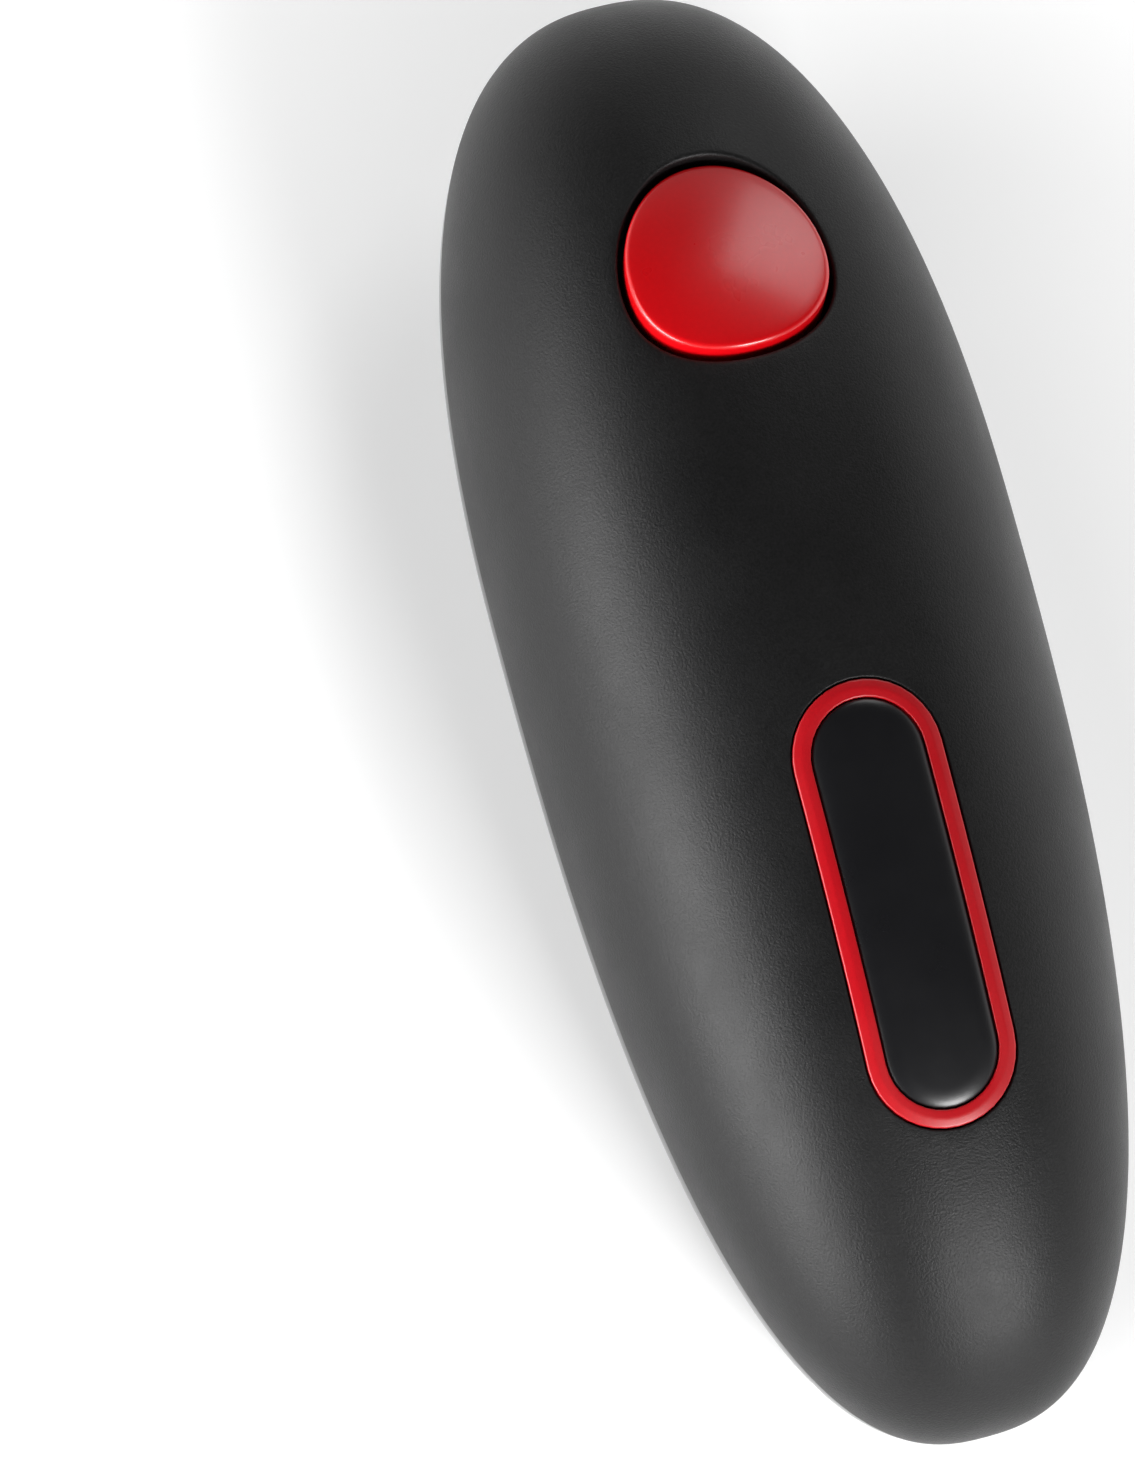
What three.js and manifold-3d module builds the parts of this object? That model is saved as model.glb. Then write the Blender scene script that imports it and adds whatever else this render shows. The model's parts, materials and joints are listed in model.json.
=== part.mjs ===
// A handheld electric can opener that runs round the can by itself.
// Millimetres. The opener is drawn level, with its nose along +X, its left side along +Y and its start
// button up, and z = 0 on the flat underside that rides on the can's rim. The last lines lay it down on a
// table, where it rests on the edge of its cutter drum and on its tail.
import * as THREE from "three";
import { mergeVertices } from "three/addons/utils/BufferGeometryUtils.js";
import Module from "manifold-3d";

const wasm = await Module();
wasm.setup();

// ---------------------------------------------------------------- driving dimensions

const GAP = 0.3; // between pieces that meet
const LENGTH = 196;
const WIDTH = 70;
const CROWN = 50; // highest point above the underside
const PARTING = 12; // height of the joint between the two casings
const KEEL = 14.5; // how far the rounded belly would reach below the joint if it weren't cut flat
const WALL = 2.4;
const STEP_IN = 0.3; // the lower casing stands back from the upper one by this much
const FLOOR = 2.6; // thickness of the flat underside

// The button leans forward with the sloping nose, by an angle in radians, and its top is part of a wide dome.
const BUTTON = {
  x: 57,
  length: 27,
  width: 26,
  proud: 0.8,
  dome: 60,
  travel: 1.6,
  lean: 0.32,
  skirt: 9,
  gap: 0.8,
};
const BOARD = { depth: 22, rear: -16.5, front: 10, halfWidth: 13.5, thickness: 1.5 };
const BADGE = { x: -30, length: 58, width: 19.8, ring: 2.3, depth: 1.4 };

const DRUM = { x: 64, r: 12, bottom: -13.5, top: -5, chamfer: 0.6, collarTop: -0.6 };
const BLADE = { r: 11, thickness: 1.1, offset: 2.6, boss: 6.6 };
const HUB_R = 8.2;
const SHAFT_R = 3;
const WHEEL = { r: 7, root: 6.35, teeth: 26, top: -0.9, bottom: -4.7 };
const WHEEL_SHAFT_R = 2.5;
const DRUM_TO_WHEEL = 21.6;
const DRIVE_X = DRUM.x - DRUM_TO_WHEEL;

// Each level of the gear train, from the floor up: [bottom, top].
const LEVELS = {
  nip: [3.2, 6.2],
  drive: [6.6, 9.4],
  third: [9.8, 11.9],
  second: [12.3, 14.2],
  first: [14.6, 16],
};
const GEAR_PLATE = { bottom: 16.6, top: 17.8 };
const AXLE_R = 1;
const NIP = { module: 0.9, drumTeeth: 30, gearTeeth: 15 };
// Stages from the cutting wheel back to the motor: pinion and gear teeth, and the way from gear to pinion.
const STAGES = [
  { pinion: 10, gear: 28, module: 0.9 },
  { pinion: 9, gear: 28, module: 0.7, heading: 185 },
  { pinion: 9, gear: 32, module: 0.6, heading: 200 },
  { pinion: 9, gear: 36, module: 0.5, heading: 225 },
];

const MOTOR = { r: 11.9, flat: 9.4, bottom: 18.1, top: 39.4, capTop: 43, shaft: 1 };
const COVER = { front: -13, halfWidth: 19.2, rail: 22, railBottom: 2.9, railTop: 4.6, top: 8.2 };
const CELL = { r: 7.1, length: 49, nub: 1.4, nubR: 2.7, y: 7.45, rows: [13.7, 28.2] };
const TRAY = { rear: -71.4, front: -10, halfWidth: 16.2, wall: 1.2, bottom: 5.4, top: 24, endTop: 33 };
// Each case screw's place and the top of the boss it bites into.
const CASE_SCREWS = [
  [86, 0, 30.5],
  [14, 26.4, 34],
  [14, -26.4, 34],
  [-46, 26, 28],
  [-46, -26, 28],
];
const PLATE_POSTS = [
  [11, -15],
  [11, 16],
  [49, -19],
  [65, 20],
];

// ---------------------------------------------------------------- finishes

const finish = (color, roughness, metalness = 0) =>
  new THREE.MeshStandardMaterial({ color, roughness, metalness });
const softBlack = finish(0x1b1b1c, 0.55);
const glossBlack = finish(0x0c0c0d, 0.2);
const red = finish(0xc0060c, 0.22);
const chrome = finish(0xd8dadc, 0.08, 1);
const steel = finish(0xa9abad, 0.3, 1);
const darkSteel = finish(0x4a4c50, 0.35, 1);
const brass = finish(0xc09a4a, 0.35, 1);
const acetal = finish(0xe6e4dc, 0.45);
const moulding = finish(0x2a2b2d, 0.6);
const board = finish(0x1d5a34, 0.5);
const cellWrap = finish(0x2d3d55, 0.35);
const redLead = finish(0xb01818, 0.5);
const blackLead = finish(0x151515, 0.5);

// ---------------------------------------------------------------- solids

// A closed geometry as a solid that can be joined and cut.
function solid(geometry) {
  const bare = new THREE.BufferGeometry();
  bare.setAttribute("position", geometry.getAttribute("position"));
  bare.setIndex(geometry.index);
  const merged = mergeVertices(bare, 1e-4);
  const corners = merged.index.array;
  const triVerts = [];
  for (let i = 0; i < corners.length; i += 3) {
    const [a, b, c] = corners.slice(i, i + 3);
    if (a !== b && b !== c && a !== c) triVerts.push(a, b, c);
  }
  const vertProperties = merged.getAttribute("position").array;
  return new wasm.Manifold(
    new wasm.Mesh({ numProp: 3, vertProperties, triVerts: new Uint32Array(triVerts) }),
  );
}

function geometryOf(made) {
  const mesh = made.getMesh();
  const geometry = new THREE.BufferGeometry();
  geometry.setAttribute("position", new THREE.BufferAttribute(mesh.vertProperties, 3));
  geometry.setIndex(new THREE.BufferAttribute(mesh.triVerts, 1));
  geometry.computeVertexNormals();
  return geometry;
}

const join = (...parts) => parts.reduce((whole, part) => whole.add(part));
const cut = (whole, ...parts) => parts.reduce((left, part) => left.subtract(part), whole);

// A block between two corners.
function block([x0, y0, z0], [x1, y1, z1]) {
  const geometry = new THREE.BoxGeometry(x1 - x0, y1 - y0, z1 - z0);
  return solid(geometry.translate((x0 + x1) / 2, (y0 + y1) / 2, (z0 + z1) / 2));
}

// A solid turned about the z axis through (x, y), from [radius, height] pairs that run up its outside.
function turned(profile, { x = 0, y = 0, sides = 20 } = {}) {
  const points = profile.map(([r, z]) => new THREE.Vector2(r, z));
  return solid(new THREE.LatheGeometry(points, sides).rotateX(Math.PI / 2).translate(x, y, 0));
}

function rod(r, bottom, top, place = {}) {
  const profile = [
    [0, bottom],
    [r, bottom],
    [r, top],
    [0, top],
  ];
  return turned(profile, place);
}

function tube(inner, outer, bottom, top, place = {}) {
  return cut(rod(outer, bottom, top, place), rod(inner, bottom - 1, top + 1, place));
}

// A flat outline pushed up from one height to another.
function prism(shape, bottom, top) {
  const geometry = new THREE.ExtrudeGeometry(shape, {
    depth: top - bottom,
    bevelEnabled: false,
    curveSegments: 6,
  });
  return solid(geometry.translate(0, 0, bottom));
}

const shapeOf = (points) => new THREE.Shape(points.map(([x, y]) => new THREE.Vector2(x, y)));

function turnedPrism(shape, bottom, top, { x = 0, y = 0, angle = 0 } = {}) {
  const geometry = geometryOf(prism(shape, bottom, top));
  return solid(geometry.rotateZ(angle).translate(x, y, 0));
}

// A straight bar with round ends along x, centred on (x, 0).
function stadium(x, length, width) {
  const r = width / 2;
  const half = length / 2 - r;
  const shape = new THREE.Shape();
  shape.absarc(x + half, 0, r, -Math.PI / 2, Math.PI / 2);
  shape.absarc(x - half, 0, r, Math.PI / 2, (3 * Math.PI) / 2);
  return shape;
}

// ---------------------------------------------------------------- the body's shape

const signedPower = (value, power) => Math.sign(value) * Math.abs(value) ** power;

// The long lines of the body. Each swells from nothing at the tips to its full size at its middle, and its
// exponents [n, m] say how square it is: 2 and 2 make an ellipse, and larger ones are fuller.
const LINES = {
  plan: { middle: 18, nose: [2.35, 2.35], tail: [2.5, 2.5] },
  crown: { middle: 11, nose: [2.45, 2.2], tail: [2.4, 2.2] },
  keel: { middle: 8, nose: [6, 3], tail: [6, 3] },
};
const UPPER_SECTION = 2.25;
const LOWER_SECTION = 3;
const COLUMNS = 32;
const RINGS = 26;

// How full a line is at x, from 0 to 1.
function fullness(name, x, inset = 0) {
  const { middle, nose, tail } = LINES[name];
  const ahead = x > middle;
  const reach = LENGTH / 2 - inset + (ahead ? -middle : middle);
  const [n, m] = ahead ? nose : tail;
  return Math.max(0, 1 - (Math.abs(x - middle) / reach) ** n) ** (1 / m);
}

// The pebble-shaped body, shrunk by inset: a sphere with its poles at the nose and tail, whose rings become
// sections with a round upper half and a fuller lower half.
function bodySolid(inset, columns, rings) {
  const geometry = new THREE.SphereGeometry(1, columns, rings);
  const position = geometry.getAttribute("position");
  for (let i = 0; i < position.count; i += 1) {
    const [up, along, side] = [position.getX(i), position.getY(i), position.getZ(i)];
    const radius = Math.hypot(up, side);
    const x = (LENGTH / 2 - inset) * signedPower(along, 0.83);
    const [cosine, sine] = radius > 1e-6 ? [side / radius, up / radius] : [0, 0];
    const halfWidth = (WIDTH / 2 - inset) * fullness("plan", x, inset);
    const crown = (CROWN - PARTING - inset) * fullness("crown", x, inset);
    const keel = (KEEL - inset) * fullness("keel", x, inset);
    const [section, height] = sine > 0 ? [UPPER_SECTION, crown] : [LOWER_SECTION, keel];
    const y = halfWidth * signedPower(cosine, 2 / section);
    position.setXYZ(i, x, y, PARTING + height * signedPower(sine, 2 / section));
  }
  return solid(geometry);
}

// Height of the upper casing's top line at x.
const crownAt = (x) => PARTING + (CROWN - PARTING) * fullness("crown", x);

const above = (z) => block([-120, -60, z], [120, 60, 80]);
const between = (z0, z1) => block([-120, -60, z0], [120, 60, z1]);

// ---------------------------------------------------------------- button outline and its leaning frame

// An egg with its narrow end towards the nose, grown by margin.
function buttonOutline(margin) {
  const steps = 28;
  const points = Array.from({ length: steps }, (_, i) => {
    const angle = (2 * Math.PI * i) / steps;
    const a = (BUTTON.length / 2 + margin) * signedPower(Math.cos(angle), 0.95);
    const narrowing = 1 - 0.14 * Math.cos(angle);
    return [a, (BUTTON.width / 2 + margin) * narrowing * signedPower(Math.sin(angle), 0.95)];
  });
  return shapeOf(points);
}

// Button pieces are drawn upright about their own axis and then leaned with the sloping nose.
function leaned(made) {
  const geometry = geometryOf(made);
  geometry.rotateY(BUTTON.lean).translate(BUTTON.x, 0, crownAt(BUTTON.x));
  return solid(geometry);
}

// ---------------------------------------------------------------- casings

const outerBody = bodySolid(0, COLUMNS, RINGS);
const innerBody = bodySolid(WALL, 20, 18);
const lowerOuter = bodySolid(STEP_IN, COLUMNS, RINGS).intersect(between(0, PARTING - GAP));
const lowerInner = bodySolid(STEP_IN + WALL, 20, 18).intersect(above(FLOOR));

function badgeRecess(margin, depth) {
  const well = prism(stadium(BADGE.x, BADGE.length + 2 * margin, BADGE.width + 2 * margin), 20, 60);
  return cut(well, bodySolid(depth, COLUMNS, RINGS));
}

function topShell() {
  const { gap } = BUTTON;
  const collar = leaned(cut(prism(buttonOutline(gap + 1.6), -8, 4), prism(buttonOutline(gap), -20, 20)));
  const boardPost = (y) => leaned(rod(1.7, -BOARD.depth + 1.6, 0, { x: -14, y, sides: 12 }));
  const bosses = CASE_SCREWS.map(([x, y, top]) => rod(3.1, PARTING + GAP, top, { x, y, sides: 12 }));
  const screwHoles = CASE_SCREWS.map(([x, y]) => rod(1.35, 0, 20, { x, y, sides: 8 }));
  const dome = cut(outerBody.intersect(above(PARTING)), innerBody);
  const fittings = join(collar, boardPost(-10.8), boardPost(10.8)).intersect(outerBody);
  const filled = join(dome, fittings, ...bosses);
  const buttonHole = leaned(prism(buttonOutline(gap), -8.5, 20));
  return cut(filled, buttonHole, badgeRecess(GAP, BADGE.depth + 0.2), ...screwHoles);
}

function badgeRing() {
  const ring = cut(
    prism(stadium(BADGE.x, BADGE.length, BADGE.width), 20, 60),
    prism(stadium(BADGE.x, BADGE.length - 2 * BADGE.ring, BADGE.width - 2 * BADGE.ring), 10, 70),
  );
  return cut(ring.intersect(outerBody), bodySolid(BADGE.depth, COLUMNS, RINGS));
}

function badgePlate() {
  const inset = BADGE.ring + 0.2;
  const plate = prism(stadium(BADGE.x, BADGE.length - 2 * inset, BADGE.width - 2 * inset), 20, 60);
  return cut(plate.intersect(outerBody), bodySolid(BADGE.depth, COLUMNS, RINGS));
}

// The battery opening, with a groove each side for the cover's rails.
function coverOpening() {
  const { front, halfWidth, rail, railBottom, railTop, top } = COVER;
  return join(
    block([-120, -halfWidth - GAP, -1], [front, halfWidth + GAP, top + GAP]),
    block([-120, -rail - GAP, railBottom - GAP], [front, rail + GAP, railTop + GAP]),
  );
}

function lowerShell() {
  const boss = ([x, y]) => rod(4.4, 0, PARTING - GAP, { x, y, sides: 12 }).intersect(lowerOuter);
  const headWells = CASE_SCREWS.map(([x, y]) => rod(3.1, -1, 3.4, { x, y, sides: 12 }));
  const screwHoles = CASE_SCREWS.map(([x, y]) => rod(1.7, -1, 20, { x, y, sides: 8 }));
  const posts = PLATE_POSTS.map(([x, y]) => rod(2.6, 1, GEAR_PLATE.bottom - 0.1, { x, y, sides: 12 }));
  const postHoles = PLATE_POSTS.map(([x, y]) => rod(1.1, 8, 30, { x, y, sides: 8 }));
  const axleHoles = axles().map(([x, y]) => rod(1.1, 1.4, 5, { x, y, sides: 12 }));
  const shell = join(cut(lowerOuter, lowerInner), ...CASE_SCREWS.map(boss), ...posts);
  return cut(
    join(shell, rod(6, 1, 5.6, { x: DRIVE_X })),
    rod(HUB_R + 0.4, -1, 8, { x: DRUM.x, sides: 32 }),
    rod(4.3, -1, 8, { x: DRIVE_X }),
    prism(wearPlateOutline(0.25), -1, 1.3),
    rod(4.4, -1, 1.2, { x: MAGNET.x }),
    coverOpening(),
    ...headWells,
    ...screwHoles,
    ...postHoles,
    ...axleHoles,
  );
}

function batteryCover() {
  const { front, halfWidth, rail, railBottom, railTop, top } = COVER;
  const edge = front - GAP;
  const skin = cut(lowerOuter, lowerInner).intersect(block([-120, -halfWidth, -1], [edge, halfWidth, top]));
  const rails = [-1, 1].map((side) => {
    const [low, high] = [side * (halfWidth - 2.2), side * halfWidth].sort((a, b) => a - b);
    const [near, far] = [side * (halfWidth - 2.2), side * rail].sort((a, b) => a - b);
    const web = block([-120, low, 1], [edge - 1, high, railTop]);
    return join(web, block([-120, near, railBottom], [edge - 1, far, railTop]));
  });
  const root = block([edge - 6, -6, 1], [edge, 6, 4.4]);
  const tongue = join(root, block([edge - 6, -6, railBottom], [edge + 4.5, 6, 4.4]));
  return join(skin, join(...rails, tongue).intersect(lowerOuter));
}

// ---------------------------------------------------------------- underside: plate, magnet, bushing

const MAGNET = { x: 27, r: 4.2, bottom: -3 };
const WEAR_PLATE = { rear: 34.4, front: 77.2, halfWidth: 12.6, thickness: 1 };
const PLATE_SCREWS = [
  [52.5, 9.2],
  [52.5, -9.2],
];

function wearPlateOutline(margin) {
  const { rear, front, halfWidth } = WEAR_PLATE;
  const length = front - rear + 2 * margin;
  return stadium((front + rear) / 2, length, 2 * (halfWidth + margin));
}

function wearPlate() {
  return cut(
    prism(wearPlateOutline(0), 0, WEAR_PLATE.thickness),
    rod(HUB_R + 0.6, -1, 3, { x: DRUM.x, sides: 32 }),
    rod(3.4, -1, 3, { x: DRIVE_X }),
    ...PLATE_SCREWS.map(([x, y]) => rod(2.1, -1, 3, { x, y, sides: 12 })),
  );
}

const wearPlateScrew = ([x, y]) => rod(1.8, 0.1, 1.2, { x, y, sides: 12 });

function lidMagnet() {
  const { x, r, bottom } = MAGNET;
  return turned([[0, bottom], [r - 0.5, bottom], [r, bottom + 0.5], [r, 1], [0, 1]], { x });
}

const driveBushing = () => tube(WHEEL_SHAFT_R + 0.08, 4.2, 1.2, 6.3, { x: DRIVE_X });

// ---------------------------------------------------------------- cutter drum and blade

// Pieces round the drum are drawn with the blade's centre off to the left of the drum's axis.
const onDrum = { x: DRUM.x, sides: 28 };
const onBlade = { x: DRUM.x, y: BLADE.offset, sides: 28 };

function cutterDrum() {
  const { r, bottom, top, chamfer, collarTop } = DRUM;
  const profile = [[0, bottom], [r - chamfer, bottom], [r, bottom + chamfer], [r, top], [0, top]];
  const barrel = turned(profile, onDrum);
  const collar = cut(rod(r, top - 1, collarTop, onDrum), rod(BLADE.r + GAP, top - 2, 2, onBlade));
  const boss = rod(BLADE.boss, top - 1, top + BLADE.thickness + 0.2, onBlade);
  return cut(join(barrel, collar, boss), rod(SHAFT_R + 0.08, bottom + 2.5, 2, { x: DRUM.x }));
}

function cuttingWheel() {
  const bottom = DRUM.top + 0.1;
  const top = bottom + BLADE.thickness;
  const bore = BLADE.boss + 0.12;
  const profile = [[0, bottom], [BLADE.r, bottom], [BLADE.r, bottom + 0.12], [BLADE.r - 1.9, top], [0, top]];
  return cut(turned(profile, onBlade), rod(bore, bottom - 1, top + 1, onBlade));
}

function bladeWasher() {
  const bottom = DRUM.top + BLADE.thickness + 0.3;
  const disc = rod(8.1, bottom, bottom + 0.45, onBlade);
  return cut(disc, rod(SHAFT_R + 0.1, bottom - 1, bottom + 1, { x: DRUM.x }));
}

const drumHub = () => tube(SHAFT_R + 0.08, HUB_R, -3.05, 3.1, onDrum);
const drumShaft = () => rod(SHAFT_R, DRUM.bottom + 2.7, 18.6, { x: DRUM.x });

// ---------------------------------------------------------------- gear train

// Centres of the three plain axles, counted from the cutting wheel's side.
function axles() {
  const reach = (i) => (STAGES[i].module * (STAGES[i].pinion + STAGES[i].gear)) / 2;
  const nipReach = (NIP.module * (NIP.drumTeeth + NIP.gearTeeth)) / 2;
  const along = (reach(0) ** 2 - nipReach ** 2 + DRUM_TO_WHEEL ** 2) / (2 * DRUM_TO_WHEEL);
  const centres = [[DRIVE_X + along, Math.sqrt(reach(0) ** 2 - along ** 2)]];
  for (let i = 1; i < STAGES.length; i += 1) {
    const [x, y] = centres[i - 1];
    const heading = THREE.MathUtils.degToRad(STAGES[i].heading);
    centres.push([x + reach(i) * Math.cos(heading), y + reach(i) * Math.sin(heading)]);
  }
  return centres; // third, second and first axle, then the motor
}

const headingOf = ([x0, y0], [x1, y1]) => Math.atan2(y1 - y0, x1 - x0);

// A spur gear's outline. Its flanks are the chords of 20 degree involutes, and one tooth points along x.
function gearShape(teeth, module) {
  const pitch = (teeth * module) / 2;
  const base = pitch * Math.cos(Math.PI / 9);
  const involute = (r) => (r > base ? Math.tan(Math.acos(base / r)) - Math.acos(base / r) : 0);
  const backlash = 0.86;
  const half = (r) => (Math.PI / (2 * teeth)) * backlash + involute(pitch) - involute(r);
  const root = pitch - 1.15 * module;
  const tip = pitch + 0.8 * module;
  const points = [];
  for (let i = 0; i < teeth; i += 1) {
    const middle = (2 * Math.PI * i) / teeth;
    for (const [r, side] of [[root, -1], [tip, -1], [tip, 1], [root, 1]]) {
      const angle = middle + side * half(r);
      points.push([r * Math.cos(angle), r * Math.sin(angle)]);
    }
  }
  return shapeOf(points);
}

const centres = axles();
const drumCentre = [DRUM.x, 0];
const driveCentre = [DRIVE_X, 0];

// A gear's tooth gap faces its pinion, and a pinion's tooth faces its gear.
const gearPhase = (gear, pinion, teeth) => headingOf(gear, pinion) + Math.PI / teeth;

// A gear and the smaller pinion below it, moulded as one, free on its axle.
function compoundGear(stage, gearLevel, pinionLevel, centre, before, after) {
  const [x, y] = centre;
  const gear = { x, y, angle: gearPhase(centre, before, STAGES[stage].gear) };
  const pinion = { x, y, angle: headingOf(centre, after) };
  const wheel = turnedPrism(gearShape(STAGES[stage].gear, STAGES[stage].module), ...gearLevel, gear);
  const { pinion: teeth, module } = STAGES[stage - 1];
  const spindle = turnedPrism(gearShape(teeth, module), pinionLevel[0], gearLevel[0] + 0.2, pinion);
  return cut(join(wheel, spindle), rod(AXLE_R + 0.08, 0, 20, { x, y, sides: 16 }));
}

function driveGear() {
  const { gear, module } = STAGES[0];
  const place = { x: DRIVE_X, angle: gearPhase(driveCentre, centres[0], gear) };
  const wheel = turnedPrism(gearShape(gear, module), ...LEVELS.drive, place);
  return cut(wheel, rod(WHEEL_SHAFT_R + 0.08, 0, 20, { x: DRIVE_X }));
}

function drumGear() {
  const place = { x: DRUM.x, angle: gearPhase(drumCentre, centres[0], NIP.drumTeeth) };
  const wheel = turnedPrism(gearShape(NIP.drumTeeth, NIP.module), ...LEVELS.nip, place);
  return cut(wheel, rod(SHAFT_R + 0.08, 0, 20, { x: DRUM.x }));
}

function nipGear() {
  const [x, y] = centres[0];
  const place = { x, y, angle: headingOf(centres[0], drumCentre) };
  const wheel = turnedPrism(gearShape(NIP.gearTeeth, NIP.module), ...LEVELS.nip, place);
  return cut(wheel, rod(AXLE_R + 0.08, 0, 20, { x, y, sides: 16 }));
}

function clutchSpring() {
  const [x, y] = centres[0];
  return tube(1.4, 3.4, LEVELS.nip[1] + 0.07, LEVELS.drive[0] - 0.07, { x, y, sides: 16 });
}

// The serrated wheel that grips the inside of the can's rim.
function driveWheel() {
  const { r, root, teeth, top, bottom } = WHEEL;
  const points = Array.from({ length: 2 * teeth }, (_, i) => {
    const radius = i % 2 ? root : r;
    return [radius * Math.cos((Math.PI * i) / teeth), radius * Math.sin((Math.PI * i) / teeth)];
  });
  const wheel = turnedPrism(shapeOf(points), bottom, top, { x: DRIVE_X });
  return cut(wheel, rod(WHEEL_SHAFT_R + 0.08, -10, 5, { x: DRIVE_X }));
}

function driveShaft() {
  const head = WHEEL.bottom - 1.2;
  const shoulder = WHEEL.bottom - 0.1;
  const flange = [[0, head], [4.1, head], [4.1, shoulder], [WHEEL_SHAFT_R, shoulder]];
  return turned([...flange, [WHEEL_SHAFT_R, 18.6], [0, 18.6]], { x: DRIVE_X });
}

function gearPlate() {
  const outline = new THREE.Shape();
  outline.moveTo(9, -19);
  outline.lineTo(50, -23);
  outline.lineTo(70, -12);
  outline.lineTo(72, 14);
  outline.lineTo(67, 24);
  outline.lineTo(54, 23);
  outline.lineTo(8, 20);
  const [motorX, motorY] = centres[3];
  return cut(
    prism(outline, GEAR_PLATE.bottom, GEAR_PLATE.top),
    rod(2.6, 10, 20, { x: DRIVE_X }),
    rod(3.1, 10, 20, { x: DRUM.x }),
    rod(3.4, 10, 20, { x: motorX, y: motorY }),
    ...centres.slice(0, 3).map(([x, y]) => rod(AXLE_R + 0.1, 10, 20, { x, y, sides: 16 })),
    ...PLATE_POSTS.map(([x, y]) => rod(1.3, 10, 20, { x, y, sides: 10 })),
  );
}

// ---------------------------------------------------------------- motor

function motorCan() {
  const [x, y] = centres[3];
  const place = { x, y };
  const { r, flat, bottom, top } = MOTOR;
  const can = rod(r, bottom, top, place).intersect(block([x - flat, y - 20, 0], [x + flat, y + 20, 60]));
  return cut(can, rod(MOTOR.shaft + 0.15, bottom - 1, top - 4, { x, y, sides: 12 }));
}

function motorEndCap() {
  const [x, y] = centres[3];
  const cap = rod(MOTOR.r - 1, MOTOR.top + 0.1, MOTOR.capTop, { x, y });
  const half = MOTOR.flat - 0.6;
  const trimmed = cap.intersect(block([x - half, y - 20, 0], [x + half, y + 20, 60]));
  const [low, high] = [MOTOR.capTop - 1, MOTOR.capTop + 2.2];
  const terminal = (middle) => block([x - 1.2, middle - 0.3, low], [x + 1.2, middle + 0.3, high]);
  return join(trimmed, terminal(y + 7), terminal(y - 7));
}

function motorShaft() {
  const [x, y] = centres[3];
  return rod(MOTOR.shaft, LEVELS.first[0] - 0.2, MOTOR.top - 4.5, { x, y, sides: 12 });
}

function motorPinion() {
  const [x, y] = centres[3];
  const place = { x, y, angle: headingOf(centres[3], centres[2]) };
  const { pinion, module } = STAGES[3];
  const teeth = turnedPrism(gearShape(pinion, module), LEVELS.first[0] - 0.1, LEVELS.first[1] + 0.3, place);
  return cut(teeth, rod(MOTOR.shaft + 0.06, 0, 20, { x, y, sides: 12 }));
}

// ---------------------------------------------------------------- button, switch and springs

const STEM_END = -14.4;

// A gently domed cap with a skirt and a stem.
function startButton() {
  const { proud, dome, skirt } = BUTTON;
  const arc = [20, 16, 12, 8, 4, 0].map((r) => [r, proud - (r * r) / (2 * dome)]);
  const cap = prism(buttonOutline(0), -3, 6).intersect(turned([[0, -4], [20, -4], ...arc], { sides: 28 }));
  const wall = cut(prism(buttonOutline(0), -skirt, -2), prism(buttonOutline(-1.6), -skirt - 1, -2.4));
  const stem = rod(2.2, STEM_END, -2, { sides: 16 });
  return leaned(join(cap, wall, stem));
}

function switchBoard() {
  const { depth, rear, front, halfWidth, thickness } = BOARD;
  return leaned(block([rear, -halfWidth, -depth], [front, halfWidth, thickness - depth]));
}

function switchBody() {
  const bottom = BOARD.thickness - BOARD.depth + 0.1;
  const box = block([-3.4, -3.4, bottom], [3.4, 3.4, STEM_END - BUTTON.travel - 0.2]);
  return leaned(cut(box, rod(1.9, bottom + 1.3, 0, { sides: 12 })));
}

const switchPlunger = () => leaned(rod(1.7, STEM_END - 2.6, STEM_END - 0.1, { sides: 12 }));

// A round-wire coil about the z axis, as a path for the wire's section.
function coil({ r, wire, turns, length, steps = 9, taper = 1 }) {
  const points = Array.from({ length: Math.round(turns * steps) + 1 }, (_, i) => {
    const share = i / Math.round(turns * steps);
    const radius = r * (1 - share * (1 - taper));
    const angle = 2 * Math.PI * turns * share;
    return new THREE.Vector3(radius * Math.cos(angle), radius * Math.sin(angle), share * length);
  });
  return wireAlong(points, wire, points.length - 1, 4);
}

function wireAlong(points, radius, steps, sides) {
  const section = Array.from({ length: sides }, (_, i) => {
    const angle = (2 * Math.PI * (i + 0.5)) / sides;
    return [radius * Math.cos(angle), radius * Math.sin(angle)];
  });
  const path = new THREE.CatmullRomCurve3(points);
  return new THREE.ExtrudeGeometry(shapeOf(section), { steps, extrudePath: path, bevelEnabled: false });
}

function buttonSpring() {
  const foot = BOARD.thickness - BOARD.depth + 0.5;
  const geometry = coil({ r: 5.8, wire: 0.4, turns: 4, length: -5 - foot });
  return geometry.translate(0, 0, foot).rotateY(BUTTON.lean).translate(BUTTON.x, 0, crownAt(BUTTON.x));
}

// ---------------------------------------------------------------- batteries

// The four cells in the order the current takes: [side, row, +1 when the nub faces the nose].
const CELLS = [
  [1, 0, 1],
  [-1, 0, -1],
  [-1, 1, 1],
  [1, 1, -1],
];
const CONTACT = 0.4; // thickness of the contact plates
const SPRING_ROOM = 7;

// Inner faces of the contact plates at the two ends of the tray.
const FRONT_FACE = TRAY.front - TRAY.wall - 0.1 - CONTACT;
const REAR_FACE = TRAY.rear + TRAY.wall + 0.1 + CONTACT;

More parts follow.
